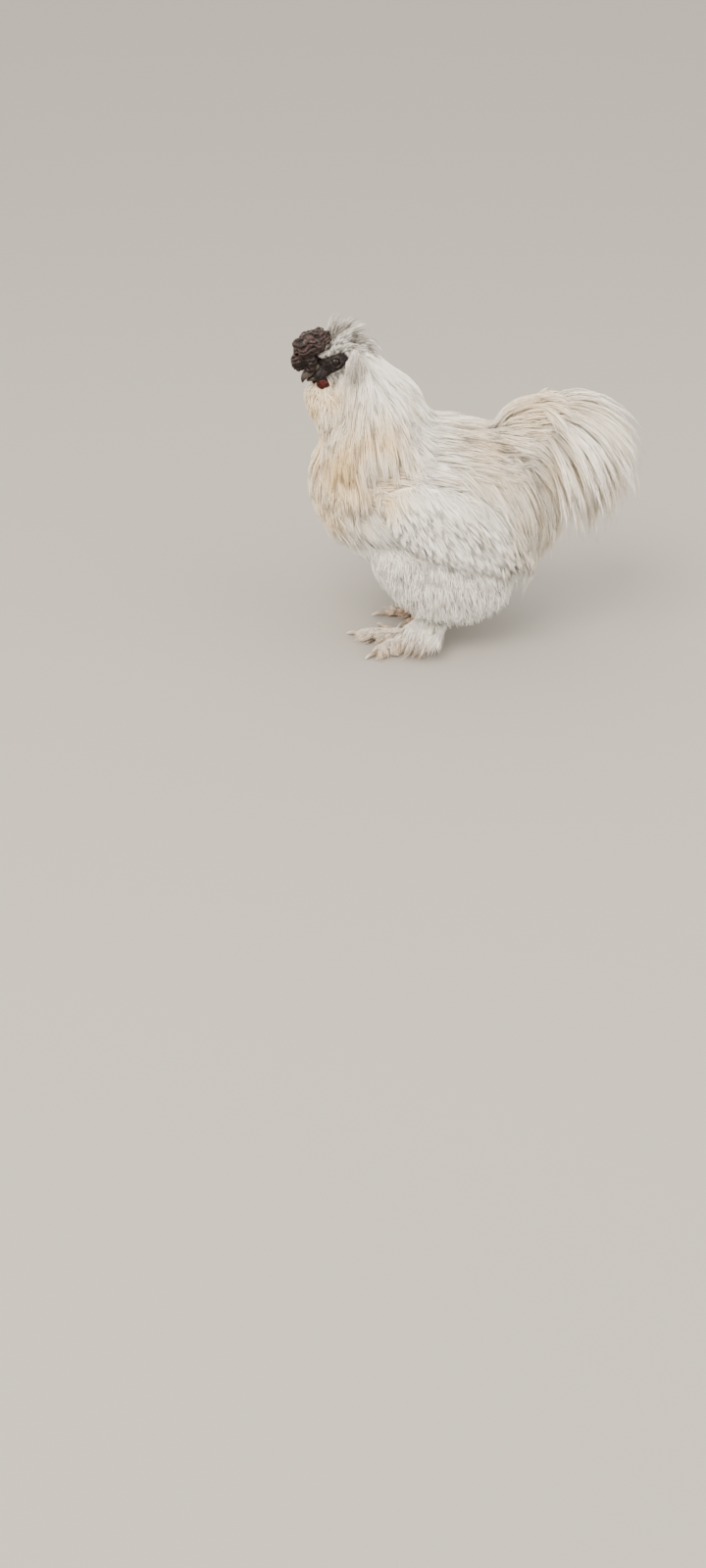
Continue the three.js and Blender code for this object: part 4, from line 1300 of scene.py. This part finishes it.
def bare_face(local):
    """How bare each place of the head is: a band round the eye and the front under the comb."""
    forward, _, up = local.T
    top = ramp(12 - up, 2.5)
    low = ramp(up + 12 - 0.27 * (19 - forward), 2.5)
    back = ramp(forward + 8 - 0.35 * (up + 3), 2.5)
    front = ramp(forward - 15, 3) * ramp(11 - up, 3) * ramp(up + 15, 3)
    far = np.linalg.norm(local / HEAD_RADII, axis=1)
    return np.maximum(top * low * back * ramp(1.5 - far, 0.3), front * ramp(2.3 - far, 0.3))


def with_eye_rings(push, verts):
    """Adds the rings of skin round the eyes and the warts above them to how far the skin stands out."""
    for _, sign in SIDES:
        outward = unit(side_point(EYE_OUTWARD, sign) - HEAD_AT)
        away = verts - side_point(EYE_AT, sign)
        reach = away @ outward
        around = np.linalg.norm(away - reach[:, None] * outward, axis=1)
        rings = sum(height * bell(around - at, width) for height, at, width in EYE_RINGS)
        push = push + np.where((reach > -4) & (around < 14), rings, 0)
        for place in WARTS:
            distance = np.linalg.norm(verts - side_point(place, sign), axis=1)
            push = push + WART_HEIGHT * bell(distance, WART_WIDTH)
    return push


class SILKIE_OT_skin(bpy.types.Operator):
    """Build one skin over the head, neck, body, wings, legs and feet"""

    bl_idname = "silkie.skin"
    bl_label = "Skin"

    def execute(self, context):
        shapes = [loft(form, 40, 60) for form in (TORSO, NECK)]
        shapes += [loft(THROAT, 24, 36), loft(TAIL, 24, 36)]
        shapes.append(ball(HEAD_AT, HEAD_RADII, head_axes(), *FINE_BALL))
        for _, sign in SIDES:
            shapes += [loft(mirrored(form, sign), 30, 40) for form in (THIGH, WING)]
            shapes.append(ball(side_point(JOWL_AT, sign), JOWL_RADII, head_axes()))
        nodes = ["head", "neck", "torso", "tail"]
        for side, sign in SIDES:
            shapes.append(loft(shank_form(side), 16, 20))
            shapes.append(ball(raised(FEET[side]["base"], FOOT_HEIGHT), FOOT_BALL))
            shapes += [loft(toe_form(side, sign, toe), 14, 16) for toe in TOES.values()]
            nodes += [f"{part}_{side}" for part in ("wing", "thigh", "shank", "foot")]
        skin = remeshed("skin", shapes, body(context).skin_grain / MM, 3)
        verts, _ = placed(skin)
        near_head = (np.abs(from_head(verts)) < HEAD_REACH).all(1)
        refine(skin, near_head | (verts[:, 2] < TOE_TOP))
        verts, normals = placed(skin)
        local = from_head(verts)
        head = ramp(1.5 - np.linalg.norm(local / HEAD_RADII, axis=1), 0.3)
        wrinkle = 1 - np.minimum(np.abs(ripple(verts, 4.5, 1)) * 1.4, 1)
        push = head * (0.7 * wrinkle + 0.2 * ripple(verts, 2.4, 2) - 0.3)
        push = with_eye_rings(push, verts)
        feet = ramp(TOE_TOP - verts[:, 2], 8)
        push = push + feet * (0.2 * ripple(verts, 3.5, 3) + toe_joints(verts))
        # A mask of painted light on raised wrinkles and eye rings, and painted shade in the folds between them.
        proud = np.clip(wrinkle**1.5 + 0.4 * np.maximum(push - 0.8, 0), 0, 1)
        verts = verts + normals * push[:, None]
        verts[:, 2] = np.maximum(verts[:, 2], 0.0)
        move_to(skin, verts)
        foot = ramp(BARE_TOP - verts[:, 2], 12)
        store(skin.data, bare=np.maximum(bare_face(local), foot), foot=foot, proud=proud)
        finished(skin, skin_material(shared_group()), nodes)
        return {"FINISHED"}


COMB_AT = (21, 0, 25)
COMB_RADII = (21, 16, 14)
COMB_LOBES = [
    ((31, 0, 12), (9.5, 12.5, 11)),
    ((33, 6.5, 6), (6, 5, 6)),
    ((33, -6.5, 6), (6, 5, 6)),
    ((42, 0, 14), (6.5, 7.5, 9.5)),
]
# The knobs in each row round the comb, from the lowest row up, and how deep they sink into it.
COMB_KNOBS = (8, 6, 3)
KNOB_DEPTH = 4.0
# How much smaller than the comb its middle ball is, which leaves room for the folds.
COMB_SKIN = 1.6
FOLD_SPACING = 4.4
FOLD_HEIGHT = 1.9
WATTLE_AT = (27, 7, -16.5)
WATTLE_RADII = (6.5, 5, 8.5)
LOBE_AT = (-1, 15, -9)
LOBE_RADII = (5.5, 3, 5.5)


class SILKIE_OT_comb(bpy.types.Operator):
    """Build the walnut comb, the wattles and the earlobes"""

    bl_idname = "silkie.comb"
    bl_label = "Comb and Wattles"

    def execute(self, context):
        rng = draws(context, 1)
        axes = head_axes()
        radii = np.array(COMB_RADII)
        shapes = [ball(head_point(COMB_AT), radii - COMB_SKIN, axes)]
        shapes += [ball(head_point(at), lobe, axes) for at, lobe in COMB_LOBES]
        for row, count in enumerate(COMB_KNOBS):
            height = math.radians(4 + 32 * row)
            for i in range(count):
                turn = 2 * math.pi * (i + 0.5 * (row % 2) + 0.12 * rng.normal()) / count
                level = math.cos(height)
                away = np.array((level * math.cos(turn), level * math.sin(turn), math.sin(height)))
                size = rng.uniform(4.6, 6.6)
                at = np.array(COMB_AT) + away * (radii - KNOB_DEPTH)
                shapes.append(ball(head_point(at), (size, size, 0.7 * size), axes, 9, 14))
        comb = remeshed("comb_flesh", shapes, body(context).comb_grain / MM, 4)
        verts, normals = placed(comb)
        up = (verts - HEAD_AT) @ UPWARD
        rows = np.abs(np.sin(math.pi * (up + 2.2 * ripple(verts, 17, 4)) / FOLD_SPACING)) ** 0.7
        crumple = 1 - np.minimum(np.abs(ripple(verts, 7.5, 6)) * 1.5, 1)
        upper = ramp(up - 12, 7)
        ridge = rows * upper + crumple * (1 - upper)
        fine = ripple(verts, 2.6, 5)
        move_to(comb, verts + normals * (FOLD_HEIGHT * (ridge - 0.75) + 0.2 * fine)[:, None])
        # Painted light on the comb's ridges and painted shade in its folds.
        store(comb.data, proud=np.clip(1.25 * ridge**2.2 - 0.12 + 0.15 * fine, 0, 1))
        finished(comb, flesh_material("Comb"), ["comb"])

        red = flesh_material("Wattle")
        slate = flesh_material("Earlobe")
        for side, sign in SIDES:
            wattle = self.lump(f"wattle_flesh_{side}", WATTLE_AT, WATTLE_RADII, sign, 6 + sign)
            finished(wattle, red, [f"wattle_{side}"])
            lobe = self.lump(f"earlobe_flesh_{side}", LOBE_AT, LOBE_RADII, sign, 9 + sign)
            finished(lobe, slate, [f"earlobe_{side}"])
        return {"FINISHED"}

    def lump(self, name, place, radii, sign, seed):
        """A soft wrinkled lump on one side of the head."""
        verts, faces, _ = ball(side_point(place, sign), radii, head_axes(), *FINE_BALL)
        obj = facing_out(new_object(name, verts, faces))
        verts, normals = placed(obj)
        fold = ripple(verts, 6, seed)
        move_to(obj, verts + normals * (0.45 * fold + 0.15 * ripple(verts, 2.5, seed + 1))[:, None])
        # Painted light where the lump bulges and painted shade in its hollows.
        store(obj.data, proud=np.clip(0.7 + 0.5 * fold, 0, 1))
        return obj


# Stations of the beak: place on the head, half width and half height.
UPPER_BEAK = [
    (20, 0, 1, 9, 7),
    (28, 0, 1, 8, 6.5),
    (36, 0, -1, 6, 5),
    (42, 0, -4, 3.6, 3.2),
    (45, 0, -8, 1.2, 1.4),
]
LOWER_BEAK = [
    (18, 0, -9, 8, 4),
    (26, 0, -9, 6.5, 3.6),
    (34, 0, -8.5, 4.6, 2.8),
    (40, 0, -8.5, 2, 1.6),
]
NOSTRIL_AT = (31, 6.6, 3)
NOSTRIL_RADII = (2.6, 3.0, 1.3)
NOSTRIL_DEPTH = 1.4


class SILKIE_OT_beak(bpy.types.Operator):
    """Build the upper and the lower beak"""

    bl_idname = "silkie.beak"
    bl_label = "Beak"

    def execute(self, context):
        horn = horn_material("Horn")
        for name, stations in (("upper_beak", UPPER_BEAK), ("lower_beak", LOWER_BEAK)):
            form = {
                "at": [head_point(row[:3]) for row in stations],
                "size": [(*row[3:], 0) for row in stations],
                "full": 0.5,
                "side": LEFTWARD,
            }
            verts, faces, share = loft(form, 30, 32)
            obj = facing_out(new_object(f"{name}_horn", verts, faces, share=share))
            if name == "upper_beak":
                self.nostrils(obj)
            finished(obj, horn, [name])
        return {"FINISHED"}

    def nostrils(self, obj):
        verts, normals = placed(obj)
        push = np.zeros(len(verts))
        for _, sign in SIDES:
            away = ((verts - side_point(NOSTRIL_AT, sign)) @ head_axes().T) / NOSTRIL_RADII
            push -= NOSTRIL_DEPTH * np.exp(-((away**2).sum(1)))
        move_to(obj, verts + normals * push[:, None])


class SILKIE_OT_eyes(bpy.types.Operator):
    """Build the wet dark eyes"""

    bl_idname = "silkie.eyes"
    bl_label = "Eyes"

    def execute(self, context):
        dark = plain_material("Eye", (0.006, 0.004, 0.003), 0.06, 0.2)
        for side, sign in SIDES:
            verts, faces, _ = ball(side_point(EYE_AT, sign), (EYE_RADIUS,) * 3, head_axes(), *FINE_BALL)
            eye = facing_out(new_object(f"eyeball_{side}", verts, faces))
            finished(eye, dark, [f"eye_{side}"])
        return {"FINISHED"}


class SILKIE_OT_claws(bpy.types.Operator):
    """Build the claws"""

    bl_idname = "silkie.claws"
    bl_label = "Claws"

    def execute(self, context):
        horn = horn_material("Claw")
        for side, sign in SIDES:
            claws = [loft(claw_form(side, sign, toe), 18, 16) for toe in TOES.values()]
            verts, faces, share = merged(claws)
            verts[:, 2] = np.maximum(verts[:, 2], 0.0)
            obj = facing_out(new_object(f"claws_{side}", verts, faces, share=share))
            finished(obj, horn, [f"claw_{side}_{toe}" for toe in TOES])
        return {"FINISHED"}


def patched(rng, form, look, patches, tiles):
    """Strands over patches of one form, each patch in the next of some tiles of the unwrap."""
    surface = Surface()
    return [
        patch_strands(rng, surface, form, LOOKS[look], patch, (number, tiles))
        for number, patch in enumerate(patches)
    ]


def grow(context, name, number, form, look, patches, silk="Silk"):
    """One coat piece from patches of one form."""
    parts = patched(draws(context, number), form, look, patches, len(patches))
    return coat_object(name, parts, plumage(silk))


class SILKIE_OT_hackle(bpy.types.Operator):
    """Grow the hackle round the neck and the fluff of the throat"""

    bl_idname = "silkie.hackle"
    bl_label = "Hackle"

    def execute(self, context):
        grow(context, "hackle_upper", 11, NECK, "hackle", NECK_PATCHES[:1])
        grow(context, "hackle_middle", 12, NECK, "hackle", NECK_PATCHES[1:2])
        grow(context, "hackle_lower", 13, NECK, "hackle", NECK_PATCHES[2:])
        grow(context, "throat_fluff", 14, THROAT, "breast", [THROAT_PATCH], "Down")
        return {"FINISHED"}


class SILKIE_OT_body_coat(bpy.types.Operator):
    """Grow the coat of the breast, belly, back and saddle"""

    bl_idname = "silkie.body_coat"
    bl_label = "Body Coat"

    def execute(self, context):
        grow(context, "breast_coat", 21, TORSO, "breast", BREAST_PATCHES)
        grow(context, "belly_fluff", 22, TORSO, "fluff", BELLY_PATCHES, "Down")
        grow(context, "back_coat", 23, TORSO, "breast", BACK_PATCHES)
        grow(context, "saddle_hackle", 24, TORSO, "saddle", SADDLE_PATCHES, "Tail silk")
        return {"FINISHED"}


def sided(patches, sign):
    """Patches of a form on the right side, or turned over for the left side."""
    if sign > 0:
        return patches
    return [{**patch, "arc": tuple(180 - angle for angle in patch["arc"])} for patch in patches]


class SILKIE_OT_limb_coats(bpy.types.Operator):
    """Grow the coat of the wings and the fluff of the thighs"""

    bl_idname = "silkie.limb_coats"
    bl_label = "Wings and Thighs"

    def execute(self, context):
        for i, (side, sign) in enumerate(SIDES):
            wing = mirrored(WING, sign)
            grow(context, f"wing_coat_{side}", 31 + i, wing, "wing", sided(WING_PATCHES, sign), "Wing silk")
            tips = sided(WING_TIP_PATCHES, sign)
            grow(context, f"wing_tips_{side}", 35 + i, wing, "wing_tips", tips, "Wing silk")
            thigh = mirrored(THIGH, sign)
            grow(context, f"thigh_fluff_{side}", 33 + i, thigh, "fluff", sided(THIGH_PATCHES, sign), "Down")
        return {"FINISHED"}


class SILKIE_OT_tail_coat(bpy.types.Operator):
    """Grow the tail's covering feathers and its long arched ones"""

    bl_idname = "silkie.tail_coat"
    bl_label = "Tail"

    def execute(self, context):
        rng = draws(context, 41)
        tiers = tail_strands(rng, Surface())
        cover = patched(rng, TAIL, "tail", TAIL_PATCHES, TAIL_ROWS)
        coat_object("tail_cover", cover, plumage("Tail silk"))
        coat_object("tail_upper", tiers[:3], plumage("Tail silk"))
        coat_object("tail_lower", tiers[3:], plumage("Tail silk"))
        return {"FINISHED"}


class SILKIE_OT_crest(bpy.types.Operator):
    """Grow the crest and the small feathers of the cheeks"""

    bl_idname = "silkie.crest"
    bl_label = "Crest"

    def execute(self, context):
        surface = Surface()
        coat_object("crest", crest_strands(draws(context, 51), surface), plumage("Crest silk"))
        for i, (side, sign) in enumerate(SIDES):
            cheek = face_strands(draws(context, 52 + i), surface, sign)
            coat_object(f"face_feathers_{side}", cheek, plumage("Cheek silk"))
        return {"FINISHED"}


# How far round the outer side of the shank feathers grow, and the bearing of the fan at its foot, in degrees.
SHANK_ARC = 105
FAN_TURN = 62
# Feathered toes: the bearing of the feathers from the toe's own, and the number of locks.
TOE_FEATHERS = (("outer", 50, 40), ("middle", 55, 34))


class SILKIE_OT_foot_coat(bpy.types.Operator):
    """Grow the feathers of the shanks and the toes"""

    bl_idname = "silkie.foot_coat"
    bl_label = "Foot Feathers"

    def execute(self, context):
        surface = Surface()
        tiles = 2 + len(TOE_FEATHERS)
        for i, (side, sign) in enumerate(SIDES):
            rng = draws(context, 61 + i)
            form = shank_form(side)
            outer = 90 - 90 * sign
            arc = (outer - SHANK_ARC, outer + SHANK_ARC)
            heading = FEET[side]["heading"]
            lie = (-0.4, 0.95 * sign, -0.8)
            hang = (-0.4, 0.85 * sign, -0.9)
            patch = tufts((0.25, 1.0), arc, 96, (48, 78), 9, lie, hang=hang, cling=0.1, tousle=0.2)
            plume = patch_strands(rng, surface, form, LOOKS["plume"], patch, (0, tiles))
            coat_object(f"shank_plume_{side}", [plume], plumage("Plume silk"))
            lie = ahead(heading + FAN_TURN, sign) - (0, 0, 0.3)
            patch = tufts((0.0, 0.5), arc, 50, 34, 6, lie, cling=0.1, tousle=0.3)
            parts = [patch_strands(rng, surface, form, LOOKS["foot"], patch, (1, tiles))]
            for number, (name, turn, locks) in enumerate(TOE_FEATHERS):
                way = ahead(heading + TOES[name]["bearing"] + turn, sign)
                lie = way + (0, 0, 0.2)
                hang = way - (0, 0, 0.5)
                patch = tufts((0.02, 0.75), (0, 180), locks, 24, 5, lie, hang=hang, cling=0.1, tousle=0.3)
                toe = toe_form(side, sign, TOES[name])
                parts.append(patch_strands(rng, surface, toe, LOOKS["foot"], patch, (2 + number, tiles)))
            coat_object(f"foot_feathers_{side}", parts, plumage("Foot silk"))
        return {"FINISHED"}


# Each light's place, size and colour.
LIGHTS = {
    "Key light": ((-0.9, -1.5, 2.4), 1.6, (1.0, 0.88, 0.72)),
    "Fill light": ((1.8, -0.8, 1.6), 2.0, (1.0, 0.95, 0.88)),
}
LIT_AT = np.array((0.0, 0.0, 0.17))
SKY_COLOR = (1.0, 0.91, 0.78, 1)
SKY_STRENGTH = 2.5
FLOOR_COLOR = (0.25, 0.243, 0.235)
SENSOR_WIDTH = 36


class SILKIE_OT_stage(bpy.types.Operator):
    """Set up the floor, the lights and the camera"""

    bl_idname = "silkie.stage"
    bl_label = "Stage"

    def execute(self, context):
        stage = context.scene.silkie_stage
        half = stage.floor_size / 2
        mesh = bpy.data.meshes.new("floor")
        corners = [(-half, -half, 0), (half, -half, 0), (half, half, 0), (-half, half, 0)]
        mesh.from_pydata(corners, [], [(0, 1, 2, 3)])
        floor = bpy.data.objects.new("floor", mesh)
        context.scene.collection.objects.link(floor)
        mesh.materials.append(plain_material("Floor", FLOOR_COLOR, 0.9))
        self.light(context, "Key light", stage.key_power)
        self.light(context, "Fill light", stage.fill_power)
        world = bpy.data.worlds.new("Studio")
        world.use_nodes = True
        background = world.node_tree.nodes["Background"]
        set_inputs(background, Color=SKY_COLOR, Strength=SKY_STRENGTH)
        context.scene.world = world
        camera_data = bpy.data.cameras.new("Camera")
        camera_data.lens = stage.lens
        camera_data.sensor_width = SENSOR_WIDTH
        camera = bpy.data.objects.new("Camera", camera_data)
        camera.location = stage.camera_place
        camera.rotation_euler = (math.pi / 2 - stage.camera_pitch, 0, 0)
        context.scene.collection.objects.link(camera)
        context.scene.camera = camera
        return {"FINISHED"}

    def light(self, context, name, power):
        """A square soft light aimed at the bird."""
        place, size, color = LIGHTS[name]
        data = bpy.data.lights.new(name, "AREA")
        data.size = size
        data.energy = power
        data.color = color
        obj = bpy.data.objects.new(name, data)
        obj.location = place
        aim = LIT_AT - place
        flat = math.hypot(aim[0], aim[1])
        obj.rotation_euler = (math.atan2(flat, -aim[2]), 0, math.atan2(aim[1], aim[0]) - math.pi / 2)
        context.scene.collection.objects.link(obj)


PIECES = (
    SILKIE_OT_skin,
    SILKIE_OT_comb,
    SILKIE_OT_beak,
    SILKIE_OT_eyes,
    SILKIE_OT_claws,
    SILKIE_OT_hackle,
    SILKIE_OT_body_coat,
    SILKIE_OT_limb_coats,
    SILKIE_OT_tail_coat,
    SILKIE_OT_crest,
    SILKIE_OT_foot_coat,
    SILKIE_OT_stage,
)


class SILKIE_PT_build(bpy.types.Panel):
    """Buttons that build the bird piece by piece"""

    bl_idname = "SILKIE_PT_build"
    bl_label = "Silkie Cock"
    bl_space_type = "VIEW_3D"
    bl_region_type = "UI"
    bl_category = "Silkie"

    def draw(self, context):
        for settings in (context.scene.silkie_body, context.scene.silkie_stage):
            for name in settings.__annotations__:
                self.layout.prop(settings, name)
        for piece in PIECES:
            self.layout.operator(piece.bl_idname)


CLASSES = (SilkieBodySettings, SilkieStageSettings, *PIECES, SILKIE_PT_build)


def register():
    for cls in CLASSES:
        bpy.utils.register_class(cls)
    bpy.types.Scene.silkie_body = bpy.props.PointerProperty(type=SilkieBodySettings)
    bpy.types.Scene.silkie_stage = bpy.props.PointerProperty(type=SilkieStageSettings)


def unregister():
    del bpy.types.Scene.silkie_stage
    del bpy.types.Scene.silkie_body
    for cls in reversed(CLASSES):
        bpy.utils.unregister_class(cls)


def main():
    """Builds every piece in order."""
    register()
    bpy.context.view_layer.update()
    for piece in PIECES:
        category, name = piece.bl_idname.split(".")
        getattr(getattr(bpy.ops, category), name)()


if __name__ == "__main__":
    main()
